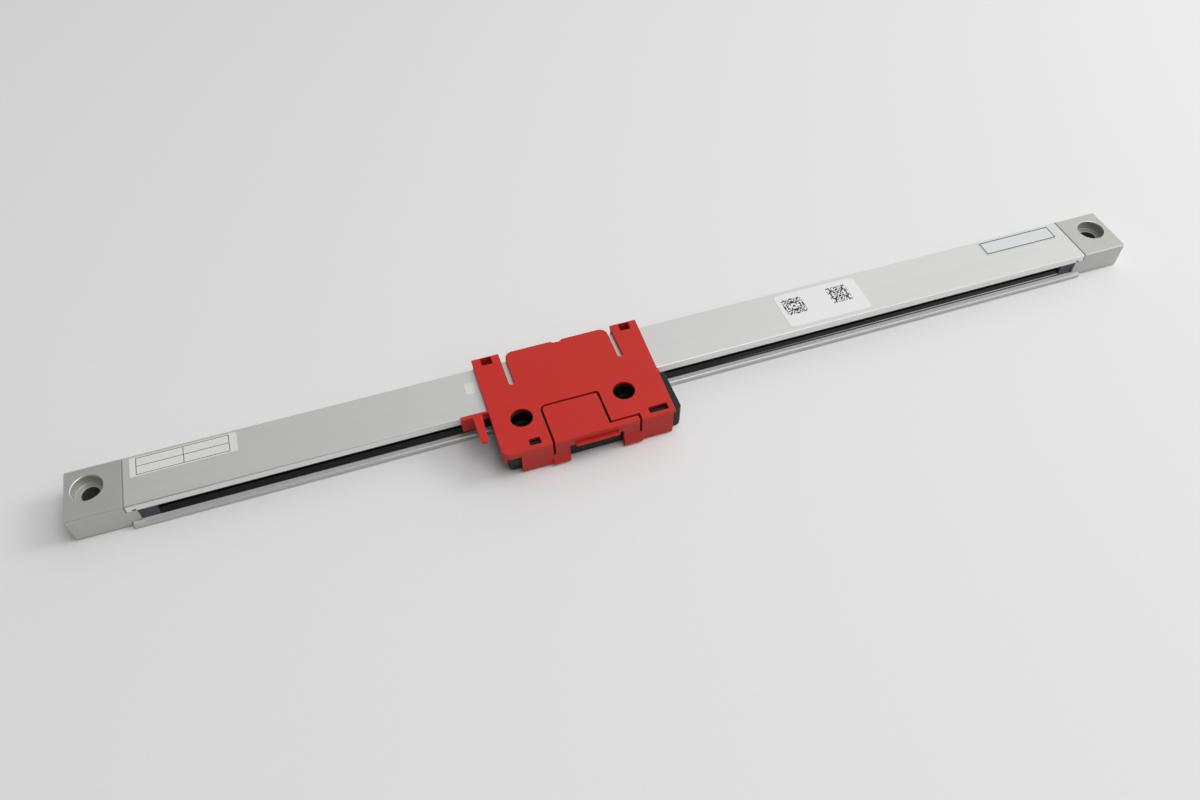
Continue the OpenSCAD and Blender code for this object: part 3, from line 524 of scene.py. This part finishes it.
# ---------------------------------------------------------------- line graduation
# Chromium lines are vapour-deposited on the lower face of the glass at an even pitch. They are drawn here
# coarser than the real ones, which are too fine to see singly.
class Pattern(Nodes):
    """A Geometry Nodes tree with named inputs. Each piece made with it is one plain mesh on one body."""

    kinds = {int: "NodeSocketInt", float: "NodeSocketFloat", Vector: "NodeSocketVector"}

    def __init__(self, name, **inputs):
        self.tree = bpy.data.node_groups.new(name, "GeometryNodeTree")
        self.tree.interface.new_socket(name="Geometry", in_out="OUTPUT", socket_type="NodeSocketGeometry")
        for label, value in inputs.items():
            socket = self.tree.interface.new_socket(
                name=label, in_out="INPUT", socket_type=self.kinds[type(value)])
            socket.default_value = value
        self.given = self.tree.nodes.new("NodeGroupInput")

    def __getitem__(self, label):
        return Sock(self, self.given.outputs[label])

    def vector(self, x, y, z):
        return self.node("ShaderNodeCombineXYZ", {}, {0: x, 1: y, 2: z})

    def join(self, *parts):
        node = self.tree.nodes.new("GeometryNodeJoinGeometry")
        for part in parts:
            self.tree.links.new(part.socket, node.inputs[0])
        return Sock(self, node.outputs[0])

    def ends(self, geometry, finish):
        real = self.node("GeometryNodeRealizeInstances", {}, {"Geometry": geometry})
        final = self.node("GeometryNodeSetMaterial", {}, {"Geometry": real, "Material": finish.material})
        self.tree.links.new(final.socket, self.tree.nodes.new("NodeGroupOutput").inputs[0])

    def piece(self, name, node, slot, **values):
        piece = bpy.data.objects.new(name, bpy.data.meshes.new(name))
        bpy.context.scene.collection.objects.link(piece)
        modifier = piece.modifiers.new("pattern", "NODES")
        modifier.node_group = self.tree
        for item in self.tree.interface.items_tree:
            if item.in_out == "INPUT" and item.name in values:
                modifier[item.identifier] = values[item.name]
        plain(piece)
        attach(piece, body_of[node])
        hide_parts(node)


chromium = Finish("deposited_chromium", Metallic=1.0)
haze = chromium.noise(0.6 * mm, 2)
chromium.varies(
    Base_Color=chromium.mix(haze, tint(150, 152, 156), tint(176, 178, 182)),
    Roughness=0.10 + haze * 0.08)

low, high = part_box("line_graduation")
line_w, pitch = 0.25 * mm, 0.5 * mm
lines = Pattern("graduation_lines", pitch=pitch, count=400, line=Vector((line_w, 2 * mm, 0.1 * mm)),
                start=Vector())
row = lines.node("GeometryNodeMeshLine", {"mode": "OFFSET"}, {
    "Count": lines["count"], "Start Location": lines["start"], "Offset": lines.vector(lines["pitch"], 0, 0)})
line = lines.node("GeometryNodeMeshCube", {}, {"Size": lines["line"]})
lines.ends(lines.node("GeometryNodeInstanceOnPoints", {}, {"Points": row, "Instance": line}), chromium)
lines.piece("line_graduation_fine", "line_graduation", "graduation_chrome",
            pitch=pitch, count=int((high.x - low.x - line_w) / pitch) + 1,
            line=Vector((line_w, high.y - low.y, high.z - low.z)),
            start=Vector((low.x + line_w / 2, (low.y + high.y) / 2, (low.z + high.z) / 2)))


# ---------------------------------------------------------------- screws
# Socket-head steel screws, cold-headed and thread-rolled: two at each end of the housing, four in the cover
# of the mounting block and two for the blade. One tree makes them from a few sizes.
steel = Finish("bright_steel", Metallic=1.0)
turning = steel.noise(0.5 * mm, 3, stretch=(1, 1, 3))
steel.varies(
    Base_Color=steel.mix(turning, tint(168, 168, 170), tint(204, 204, 205)),
    Roughness=0.22 + turning * 0.18)
steel.bump(turning, 0.01 * mm)

# One screw stands along Z with the top of its head at 0, and is turned by turn. As many as count stand gap
# apart, starting at first, and all are repeated across the plane where x is mirror.
screw = Pattern("socket_screw", head_r=2.0 * mm, head_h=2.0 * mm, shank_r=1.0 * mm, length=10 * mm,
                hex_r=0.7 * mm, thread=0.4 * mm, threads=10, gap=Vector(), first=Vector(), turn=Vector(),
                count=2, mirror=0.0)
core_share, root_share, sunk = 0.82, 0.8, screw["head_h"] * 0.9
head = screw.node("GeometryNodeMeshCylinder", {}, {
    "Vertices": 40, "Radius": screw["head_r"], "Depth": screw["head_h"]}, "Mesh")
head = screw.node("GeometryNodeTransform", {}, {
    "Geometry": head, "Translation": screw.vector(0, 0, screw["head_h"] * -0.5)})
hexagon = screw.node("GeometryNodeMeshCylinder", {}, {
    "Vertices": 6, "Radius": screw["hex_r"], "Depth": screw["head_h"] * 1.1}, "Mesh")
recessed = screw.tree.nodes.new("GeometryNodeMeshBoolean")
recessed.operation = "DIFFERENCE"
screw.tree.links.new(head.socket, recessed.inputs["Mesh 1"])
screw.tree.links.new(hexagon.socket, recessed.inputs["Mesh 2"])
head = Sock(screw, recessed.outputs[0])
shank = screw.node("GeometryNodeMeshCylinder", {}, {
    "Vertices": 24, "Radius": screw["shank_r"] * core_share, "Depth": screw["length"]}, "Mesh")
shank = screw.node("GeometryNodeTransform", {}, {
    "Geometry": shank, "Translation": screw.vector(0, 0, screw["length"] * -0.5 - sunk)})
root = screw["shank_r"] * root_share
flanks = [screw.node("GeometryNodeMeshCone", {}, {
    "Vertices": 24, "Radius Top": top, "Radius Bottom": bottom, "Depth": screw["thread"] * 0.5}, "Mesh")
    for top, bottom in ((root, screw["shank_r"]), (screw["shank_r"], root))]
crest = screw.join(flanks[0], screw.node("GeometryNodeTransform", {}, {
    "Geometry": flanks[1], "Translation": screw.vector(0, 0, screw["thread"] * -0.5)}))
rungs = screw.node("GeometryNodeMeshLine", {"mode": "OFFSET"}, {
    "Count": screw["threads"], "Offset": screw.vector(0, 0, screw["thread"]),
    "Start Location": screw.vector(0, 0, screw["length"] * -1 - sunk + screw["thread"])})
thread = screw.node("GeometryNodeInstanceOnPoints", {}, {"Points": rungs, "Instance": crest})
whole = screw.node("GeometryNodeTransform", {}, {
    "Geometry": screw.join(head, shank, thread), "Rotation": screw["turn"]})
spots = screw.node("GeometryNodeMeshLine", {"mode": "OFFSET"}, {
    "Count": screw["count"], "Start Location": screw["first"], "Offset": screw["gap"]})
right = screw.node("GeometryNodeInstanceOnPoints", {}, {"Points": spots, "Instance": whole})
right = screw.node("GeometryNodeRealizeInstances", {}, {"Geometry": right})
left = screw.node("GeometryNodeFlipFaces", {}, {"Mesh": screw.node("GeometryNodeTransform", {}, {
    "Geometry": right, "Translation": screw.vector(screw["mirror"] * 2, 0, 0), "Scale": (-1, 1, 1)})})
screw.ends(screw.join(right, left), steel)

low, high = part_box("end_screws")
head_r = 2.0 * mm
screw.piece("end_screws_fine", "end_screws", "steel", head_r=head_r, head_h=2.2 * mm, shank_r=1.0 * mm,
            length=31 * mm, hex_r=0.8 * mm, thread=0.45 * mm, threads=17,
            turn=Vector((0, math.pi / 2, 0)), count=2, mirror=0.0,
            first=Vector((high.x, low.y + head_r, high.z - head_r)),
            gap=Vector((0, high.y - low.y - 2 * head_r, low.z - high.z + 2 * head_r)))

vent_plug = Finish("vent_plug_steel", Metallic=1.0)
dull = vent_plug.noise(0.4 * mm, 3)
vent_plug.varies(
    Base_Color=vent_plug.mix(dull, tint(150, 150, 152), tint(186, 186, 188)),
    Roughness=0.3 + dull * 0.2)
dress("air_inlet_plugs", vent_plug)


# ---------------------------------------------------------------- labels
# Four self-adhesive films with a satin coat. The rating label keeps an empty printed table, the one at the
# right end a printed frame, and the wide one two squares of plain ornamental blocks. The sticker is bare.
def film(name, paper, ink=None, print_of=None):
    """A coated film, printed with ink where print_of gives 1."""
    finish = Finish(name, Specular_IOR_Level=0.45)
    fibre = finish.noise(0.8 * mm, 4)
    sheet = finish.mix(fibre, paper, tuple(0.94 * v for v in paper[:3]) + (1,))
    if print_of:
        x, y, z = finish.axes()
        sheet = finish.mix(print_of(finish, x, y), sheet, ink)
    finish.varies(Base_Color=sheet, Roughness=0.36 + fibre * 0.12)
    finish.bump(fibre, 0.008 * mm)
    return finish


def ruled(x, y, across, along, width):
    """1 on the lines of a table that has its lines at those x and y places, each drawn from edge to edge."""
    lines = None
    for axis, places in ((x, across), (y, along)):
        for place in places:
            line = abs(axis - place) < width / 2
            lines = line if lines is None else lines.either(line)
    inside = (x > min(across) - width / 2).both(x < max(across) + width / 2)
    return lines.both(inside).both((y > min(along) - width / 2).both(y < max(along) + width / 2))


low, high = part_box("id_label")
table_x = [low.x + v * mm for v in (3.2, 26.1, 48.5)]
table_y = [high.y - v * mm for v in (0.8, 6.0, 11.3)]
dress("id_label", film("rating_film", tint(224, 225, 220), tint(48, 46, 46),
                       lambda finish, x, y: ruled(x, y, table_x, table_y, 0.34 * mm)))

low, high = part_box("date_label")
frame_x = [low.x + 1.0 * mm, high.x - 1.0 * mm]
frame_y = [low.y + 0.9 * mm, high.y - 0.8 * mm]
dress("date_label", film("framed_film", tint(217, 220, 220), tint(74, 74, 73),
                         lambda finish, x, y: ruled(x, y, frame_x, frame_y, 0.7 * mm)))


def ornaments(finish, x, y):
    """Two squares of blocks that say nothing: each is the same on both sides of its two middle lines."""
    cell, half, bare_share = 0.72 * mm, 6.1 * mm, 0.47
    low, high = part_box("code_label")
    shown = None
    for across, down in ((8.8 * mm, 10.3 * mm), (37.0 * mm, 9.8 * mm)):
        middle_x, middle_y = low.x + across, high.y - down
        u, v = abs(x - middle_x), abs(y - middle_y)
        spot = finish.node("ShaderNodeCombineXYZ", {}, {
            0: (u / cell).floored(), 1: (v / cell).floored(), 2: middle_x * 1000})
        chance = finish.node("ShaderNodeTexWhiteNoise", {"noise_dimensions": "3D"}, {"Vector": spot})
        block = (chance > bare_share).both((u < half).both(v < half))
        shown = block if shown is None else shown.either(block)
    return shown


dress("code_label", film("block_film", tint(234, 234, 235), tint(34, 33, 33), ornaments))
dress("position_sticker", film("plain_film", tint(222, 221, 218)))


# ---------------------------------------------------------------- mounting block
# An aluminium block milled all over and anodised black. It is clamped to the moving machine part by two
# screws, and an electronics well in its middle is shut by a screwed cover with a gasket.
black_anodised = Finish("black_anodised", Metallic=0.2, Specular_IOR_Level=0.4)
mill = black_anodised.noise(0.5 * mm, 3, stretch=(30, 1, 1))
pits = black_anodised.noise(0.12 * mm, 2)
black_anodised.varies(
    Base_Color=black_anodised.mix(mill * 0.6 + pits * 0.4, tint(17, 16, 15), tint(34, 32, 30)),
    Roughness=0.36 + mill * 0.12 + pits * 0.08)
black_anodised.bump(mill * 0.5 + pits * 0.5, 0.015 * mm)

black_edge = Finish("black_anodised_edge", Metallic=0.4)
rub = black_edge.noise(2 * mm, 4)
black_edge.varies(
    Base_Color=black_edge.mix(rub, tint(30, 29, 28), tint(56, 54, 52)),
    Roughness=0.3 + rub * 0.15)

# In the depth of its two bolt holes the coating is dull, and is painted near black as painted shade in the
# holes.
deep_black = Finish("black_anodised_hole", Specular_IOR_Level=0.2)
drill_marks = deep_black.noise(0.3 * mm, 3)
deep_black.varies(
    Base_Color=deep_black.mix(drill_marks, tint(8, 8, 8), tint(16, 16, 15)),
    Roughness=0.6 + drill_marks * 0.2)
block_bolts = frame["record"]["mounts"][2]
bolts_middle = Vector(block_bolts["pos_m"])
bolt_off = block_bolts["dims"]["spacing_x_mm"] / 2 * mm
hole_reach = 5.7 * mm
block_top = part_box("mounting_block")[1].z


def in_bolt_hole(place, normal):
    off = math.hypot(abs(place.x - bolts_middle.x) - bolt_off, place.y - bolts_middle.y)
    return off < hole_reach and 1 * mm < place.z < block_top - 0.5 * mm


eased("mounting_block", black_anodised, 0.2 * mm, black_edge,
      marks=[(deep_black, in_bolt_hole)])

cover_anodised = Finish("black_anodised_cover", Metallic=0.4)
brushed = cover_anodised.noise(0.3 * mm, 3, stretch=(60, 1, 1))
cover_anodised.varies(
    Base_Color=cover_anodised.mix(brushed, tint(30, 31, 33), tint(60, 61, 64)),
    Roughness=0.3 + brushed * 0.2)
cover_anodised.bump(brushed, 0.012 * mm)
eased("block_cover", cover_anodised, 0.12 * mm, black_edge)

low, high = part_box("cover_screws")
head_r = 1.8 * mm
screw.piece("cover_screws_fine", "cover_screws", "steel", head_r=head_r, head_h=0.8 * mm, shank_r=0.8 * mm,
            length=4.6 * mm, hex_r=0.75 * mm, thread=0.35 * mm, threads=11,
            turn=Vector(), count=2, mirror=(low.x + high.x) / 2,
            first=Vector((high.x - head_r, low.y + head_r, high.z)),
            gap=Vector((0, high.y - low.y - 2 * head_r, 0)))


# ---------------------------------------------------------------- circuit board
# A two-layer board with green solder mask over copper tracks lies on a ledge of the well, with six moulded
# parts soldered on its top.
board_mask = Finish("board_mask", Coat_Weight=0.4, Coat_Roughness=0.15)
copper_track = board_mask.node("ShaderNodeTexBrick", {"offset": 0.5}, {
    "Vector": board_mask.place(), "Scale": 300, "Mortar Size": 0.035, "Color1": (0, 0, 0, 1),
    "Color2": (0, 0, 0, 1), "Mortar": (1, 1, 1, 1)}, "Fac")
clotted = board_mask.noise(3 * mm, 3)
mask = board_mask.mix(clotted, tint(14, 74, 40), tint(22, 92, 52))
board_mask.varies(
    Base_Color=board_mask.mix(copper_track, mask, tint(44, 122, 74)),
    Roughness=0.35 + clotted * 0.1)
board_mask.bump(copper_track, 0.02 * mm)
dress("circuit_board", board_mask)
dress("photocell_board", board_mask)

chip_mould = Finish("chip_mould")
powder = chip_mould.noise(0.1 * mm, 3)
chip_mould.varies(
    Base_Color=chip_mould.mix(powder, tint(22, 22, 23), tint(44, 44, 45)),
    Roughness=0.5 + powder * 0.15)
chip_mould.bump(powder, 0.01 * mm)
eased("board_chips", chip_mould, 0.1 * mm)


# ---------------------------------------------------------------- cable socket
# A black moulded insert is pressed into the end of the block. Six gold-plated contacts stand in its floor
# on one circle, and a short lead joins them to the board.
socket_mould = Finish("socket_mould", Specular_IOR_Level=0.5)
spark = socket_mould.noise(0.12 * mm, 3)
socket_mould.varies(
    Base_Color=socket_mould.mix(spark, tint(20, 20, 21), tint(38, 38, 39)),
    Roughness=0.42 + spark * 0.15)
socket_mould.bump(spark, 0.015 * mm)
eased("cable_socket", socket_mould, 0.1 * mm)

gold = Finish("gold_plate", Metallic=1.0)
plating = gold.noise(0.3 * mm, 2)
gold.varies(
    Base_Color=gold.mix(plating, tint(214, 168, 84), tint(240, 200, 118)),
    Roughness=0.15 + plating * 0.12)

contacts = Pattern("contacts", count=6, ring_r=2.3 * mm, contact_r=0.3 * mm, length=5 * mm, tip=0.3 * mm,
                   middle=Vector())
barrel_h = contacts["length"] - contacts["tip"]
barrel = contacts.node("GeometryNodeMeshCylinder", {}, {
    "Vertices": 20, "Radius": contacts["contact_r"], "Depth": barrel_h}, "Mesh")
barrel = contacts.node("GeometryNodeTransform", {}, {
    "Geometry": barrel, "Translation": contacts.vector(0, 0, barrel_h * 0.5)})
nose = contacts.node("GeometryNodeMeshCone", {}, {
    "Vertices": 20, "Radius Top": contacts["contact_r"] * 0.45, "Radius Bottom": contacts["contact_r"],
    "Depth": contacts["tip"]}, "Mesh")
nose = contacts.node("GeometryNodeTransform", {}, {
    "Geometry": nose, "Translation": contacts.vector(0, 0, barrel_h)})
circle = contacts.node("GeometryNodeMeshCircle", {}, {
    "Vertices": contacts["count"], "Radius": contacts["ring_r"]})
ringed = contacts.node("GeometryNodeInstanceOnPoints", {}, {
    "Points": circle, "Instance": contacts.join(barrel, nose)})
contacts.ends(contacts.node("GeometryNodeTransform", {}, {
    "Geometry": ringed, "Translation": contacts["middle"], "Rotation": (0, math.pi / 2, 0)}), gold)
low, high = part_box("socket_pins")
contacts.piece("socket_pins_fine", "socket_pins", "contact_gold", length=high.x - low.x,
               middle=Vector((low.x, (low.y + high.y) / 2, (low.z + high.z) / 2)))


# ---------------------------------------------------------------- blade
# A ground steel blade, thin at both ends like a lens, carries the head's motion between the lips. Two
# screws hold it in the block, and a flat film lead lies in a groove along it.
ground_steel = Finish("ground_steel", Metallic=1.0)
grind = ground_steel.noise(0.15 * mm, 3, stretch=(50, 1, 1))
ground_steel.varies(
    Base_Color=ground_steel.mix(grind, tint(176, 177, 178), tint(212, 213, 214)),
    Roughness=0.18 + grind * 0.18)
ground_steel.bump(grind, 0.006 * mm)
for node in ("blade", "coupling_rod", "roller_pins"):
    dress(node, ground_steel)

spring_steel = Finish("spring_steel", Metallic=1.0)
blued = spring_steel.noise(1.5 * mm, 3)
spring_steel.varies(
    Base_Color=spring_steel.mix(blued, tint(120, 124, 136), tint(168, 166, 160)),
    Roughness=0.2 + blued * 0.15)
dress("preload_spring", spring_steel)

low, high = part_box("blade_screws")
head_r = 1.2 * mm
head_h = 0.9 * mm
screw.piece("blade_screws_fine", "blade_screws", "steel", head_r=head_r, head_h=head_h, shank_r=0.6 * mm,
            length=high.z - low.z - head_h, hex_r=0.55 * mm, thread=0.3 * mm, threads=8,
            turn=Vector(), count=1, mirror=(low.x + high.x) / 2,
            first=Vector((high.x - head_r, (low.y + high.y) / 2, high.z)), gap=Vector())

low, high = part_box("flex_lead")
film_lead = Finish("film_lead", Coat_Weight=0.5, Coat_Roughness=0.2)
x, y, z = film_lead.axes()
track_pitch, track_share = 0.5 * mm, 0.56
lane = (x - low.x) / track_pitch
track = abs(lane - lane.floored() - 0.5) < track_share / 2
film_lead.varies(
    Base_Color=film_lead.mix(track, tint(176, 112, 40), tint(206, 134, 66)),
    Roughness=0.28 + film_lead.noise(0.6 * mm, 2) * 0.1)
film_lead.bump(track, 0.02 * mm)
dress("flex_lead", film_lead)


# ---------------------------------------------------------------- scanning carriage
# A die-cast frame rides on the glass inside the housing. A lamp and a lens shine up through the graduation,
# and a reticle with four photocells reads it from above.
die_cast = Finish("die_cast", Metallic=0.8)
cast_skin = die_cast.noise(0.25 * mm, 4)
chill = die_cast.noise(5 * mm, 4, stretch=(3, 1, 1))
die_cast.varies(
    Base_Color=die_cast.mix(cast_skin * 0.5 + chill * 0.5, tint(138, 140, 143), tint(172, 174, 176)),
    Roughness=0.38 + cast_skin * 0.15 + chill * 0.08)
die_cast.bump(cast_skin, 0.03 * mm)
eased("carriage_frame", die_cast, 0.12 * mm)

clear_epoxy = Finish("clear_epoxy", Transmission_Weight=0.6, IOR=1.5)
cure = clear_epoxy.noise(0.8 * mm, 2)
clear_epoxy.varies(
    Base_Color=clear_epoxy.mix(cure, tint(226, 220, 196), tint(244, 240, 220)),
    Roughness=0.08 + cure * 0.08)
dress("lamp", clear_epoxy)

optic = Finish("coated_optic", Transmission_Weight=1.0, IOR=1.52)
coating = optic.noise(2 * mm, 2)
optic.varies(
    Base_Color=optic.mix(coating, tint(206, 220, 240), tint(226, 214, 238)),
    Roughness=0.02 + coating * 0.02)
dress("condenser_lens", optic)
dress("scanning_reticle", optic)

silicon = Finish("silicon_cell", Metallic=0.3, Coat_Weight=0.6)
wafer = silicon.noise(0.9 * mm, 2)
silicon.varies(
    Base_Color=silicon.mix(wafer, tint(26, 28, 62), tint(44, 46, 92)),
    Roughness=0.15 + wafer * 0.1)
dress("photocells", silicon)


# ---------------------------------------------------------------- guide rollers
# Five miniature ball bearings guide the carriage, three on the top of the glass and two on its edge. Each
# is an outer ring, an inner ring and seven balls, on a pin of its own.
race_steel = Finish("race_steel", Metallic=1.0)
lapped = race_steel.noise(0.2 * mm, 2)
race_steel.varies(
    Base_Color=race_steel.mix(lapped, tint(196, 197, 199), tint(226, 227, 228)),
    Roughness=0.10 + lapped * 0.1)

bearing = Pattern("ball_bearing", rim_r=2.2 * mm, bore_r=0.65 * mm, width=1.6 * mm, balls=7, middle=Vector(),
                  turn=Vector())


def race(inner, outer):
    """A ring of square section between two radii."""
    path = bearing.node("GeometryNodeCurvePrimitiveCircle", {"mode": "RADIUS"}, {
        "Resolution": 40, "Radius": (inner + outer) * 0.5})
    section = bearing.node("GeometryNodeCurvePrimitiveQuadrilateral", {"mode": "RECTANGLE"}, {
        "Width": outer - inner, "Height": bearing["width"]})
    return bearing.node("GeometryNodeCurveToMesh", {}, {"Curve": path, "Profile Curve": section})


rim, bore = bearing["rim_r"], bearing["bore_r"]
depth = rim - bore
race_w, ball_r = depth * 0.33, depth * 0.19
ball = bearing.node("GeometryNodeMeshIcoSphere", {}, {"Radius": ball_r, "Subdivisions": 2})
ball_ring = bearing.node("GeometryNodeMeshCircle", {}, {
    "Vertices": bearing["balls"], "Radius": bore + depth * 0.5})
balls = bearing.node("GeometryNodeInstanceOnPoints", {}, {"Points": ball_ring, "Instance": ball})
whole = bearing.join(race(bore, bore + race_w), race(rim - race_w, rim), balls)
bearing.ends(bearing.node("GeometryNodeTransform", {}, {
    "Geometry": whole, "Translation": bearing["middle"], "Rotation": bearing["turn"]}), race_steel)
for node in ("top_roller_left", "top_roller_right", "top_roller_front",
             "edge_roller_left", "edge_roller_right"):
    low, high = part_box(node)
    on_top = node.startswith("top")
    bearing.piece(node + "_bearing", node, "bearing_steel", middle=(low + high) / 2,
                  turn=Vector((math.pi / 2 if on_top else 0, 0, 0)), rim_r=(high.x - low.x) / 2,
                  width=(high.y - low.y) if on_top else (high.z - low.z))


# ---------------------------------------------------------------- shipping brace
# One moulding in red plastic with a fine spark-eroded skin. It clips over the housing and keeps the block at
# its working distance until both are screwed down. Its walls are painted darker than its plate: painted
# shade.
red_mould = Finish("red_mould", Specular_IOR_Level=0.42)
sparked = red_mould.noise(0.32 * mm, 3)
flow = red_mould.noise(16 * mm, 4, stretch=(1, 1.6, 1))
scuff = red_mould.noise(2.4 * mm, 5, stretch=(4, 1, 1)).rise(0.62, 0.78)
red = red_mould.mix(flow, tint(194, 30, 18), tint(202, 36, 23))
red = red_mould.mix(sparked * 0.25, red, tint(180, 24, 15))
x, y, z = red_mould.axes()
plate_t = 2 * mm
plate_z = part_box("shipping_brace")[1].z - plate_t
# Painted shade: the walls below the plate are darkened, standing in for the weaker light on the side faces.
red = red_mould.mix((z < plate_z) * 0.16, red, tint(90, 14, 10))
red_mould.varies(
    Base_Color=red_mould.mix(scuff * 0.15, red, tint(214, 76, 62)),
    Roughness=0.44 + sparked * 0.16 + scuff * 0.08)
red_mould.bump(sparked, 0.05 * mm)

red_edge = Finish("red_mould_edge", Specular_IOR_Level=0.3)
rubbed = red_edge.noise(1.8 * mm, 4)
red_edge.varies(
    Base_Color=red_edge.mix(rubbed, tint(196, 42, 31), tint(208, 58, 44)),
    Roughness=0.38 + rubbed * 0.18)

# The walls of the groove round the latch tab keep the grain of the electrode and are painted dark, as
# painted shade in the narrow groove.
red_groove_shade = Finish("red_mould_groove", Specular_IOR_Level=0.2)
grain = red_groove_shade.noise(0.4 * mm, 3)
red_groove_shade.varies(
    Base_Color=red_groove_shade.mix(grain, tint(60, 6, 4), tint(80, 9, 6)),
    Roughness=0.6 + grain * 0.2)
red_groove_shade.bump(grain, 0.05 * mm)


def tree_of(node):
    mesh = frame["nodes"][node].data
    return BVHTree.FromPolygons([v.co for v in mesh.vertices], [p.vertices for p in mesh.polygons])


def beside(tree):
    """A test for the faces and edges of the plate that face the given piece across a narrow groove."""
    groove = 1.1 * mm
    return lambda place, normal=Vector(): (
        place.z > plate_z and abs(normal.z) < 0.3 and tree.find_nearest(place, groove)[0] is not None)


at_latch = [(red_groove_shade, beside(tree_of("brace_latch")))]
red_break, red_weld = 0.15 * mm, 0.06 * mm
eased("shipping_brace", red_mould, red_break, red_edge, weld=red_weld,
      marks=at_latch, edge_marks=at_latch)


# ---------------------------------------------------------------- latch tab and hook
# Both are cut out of the same moulding by a groove and bend on the plastic itself: the tab clips the brace
# to the block and is let go by its thumb ledge, and the hook holds a loop of cable.
at_brace = [(red_groove_shade, beside(tree_of("shipping_brace")))]
eased("brace_latch", red_mould, red_break, red_edge, weld=red_weld,
      marks=at_brace, edge_marks=at_brace)
eased("brace_hook", red_mould, red_break, red_edge, weld=red_weld)


# ---------------------------------------------------------------- floor and light
# A wide sheet of pale studio paper. A key lamp stands on the right and a larger one hangs overhead, both
# soft, and the studio's pale walls and ceiling fill in, most of all from the right.
paper = Finish("studio_paper", Specular_IOR_Level=0.15)
tooth = paper.noise(1.2 * mm, 3)
paper.varies(
    Base_Color=paper.mix(tooth, tint(229, 229, 229), tint(233, 233, 233)),
    Roughness=0.85 + tooth * 0.05)
half_floor, floor_z = 6, -0.6 * mm
corners = [(x * half_floor, y * half_floor, floor_z) for x, y in ((-1, -1), (1, -1), (1, 1), (-1, 1))]
floor_mesh = bpy.data.meshes.new("studio_floor")
floor_mesh.from_pydata(corners, [], [(0, 1, 2, 3)])
floor_mesh.materials.append(paper.material)
floor = bpy.data.objects.new("studio_floor", floor_mesh)
bpy.context.scene.collection.objects.link(floor)


def soft_lamp(name, place, width, power, mirrored):
    """A round lamp that faces the scale. mirrored says whether it shows in polished faces."""
    data = bpy.data.lights.new(name, "AREA")
    data.shape, data.size, data.energy = "DISK", width, power
    lamp = bpy.data.objects.new(name, data)
    lamp.location = place
    lamp.rotation_euler = Vector(place).to_track_quat("Z", "Y").to_euler()
    lamp.visible_glossy = mirrored
    bpy.context.scene.collection.objects.link(lamp)


soft_lamp("key_lamp", (1.75, -0.1, 1.15), 0.9, 15, mirrored=False)
soft_lamp("overhead_lamp", (0.45, -0.4, 2.0), 1.4, 10, mirrored=True)
world = bpy.data.worlds.new("studio")
world.use_nodes = True
walls = Nodes()
walls.tree = world.node_tree
facing = walls.node("ShaderNodeTexCoord", {}, {}, "Generated")
facing = walls.node("ShaderNodeSeparateXYZ", {}, {0: facing}).socket.node
even_level, darkest, brightest = 0.11, 0.13, 1.05
from_right, from_behind, from_above = 1.12, 0.15, 0.5
level = even_level + sum(
    (Sock(walls, facing.outputs[i]) * share
     for i, share in enumerate((from_right, from_behind, from_above))), 0)
backdrop = world.node_tree.nodes["Background"]
backdrop.inputs["Color"].default_value = (1, 1, 1, 1)
world.node_tree.links.new(level.either(darkest).both(brightest).socket, backdrop.inputs["Strength"])
bpy.context.scene.world = world
bpy.context.scene.view_settings.view_transform = "Standard"
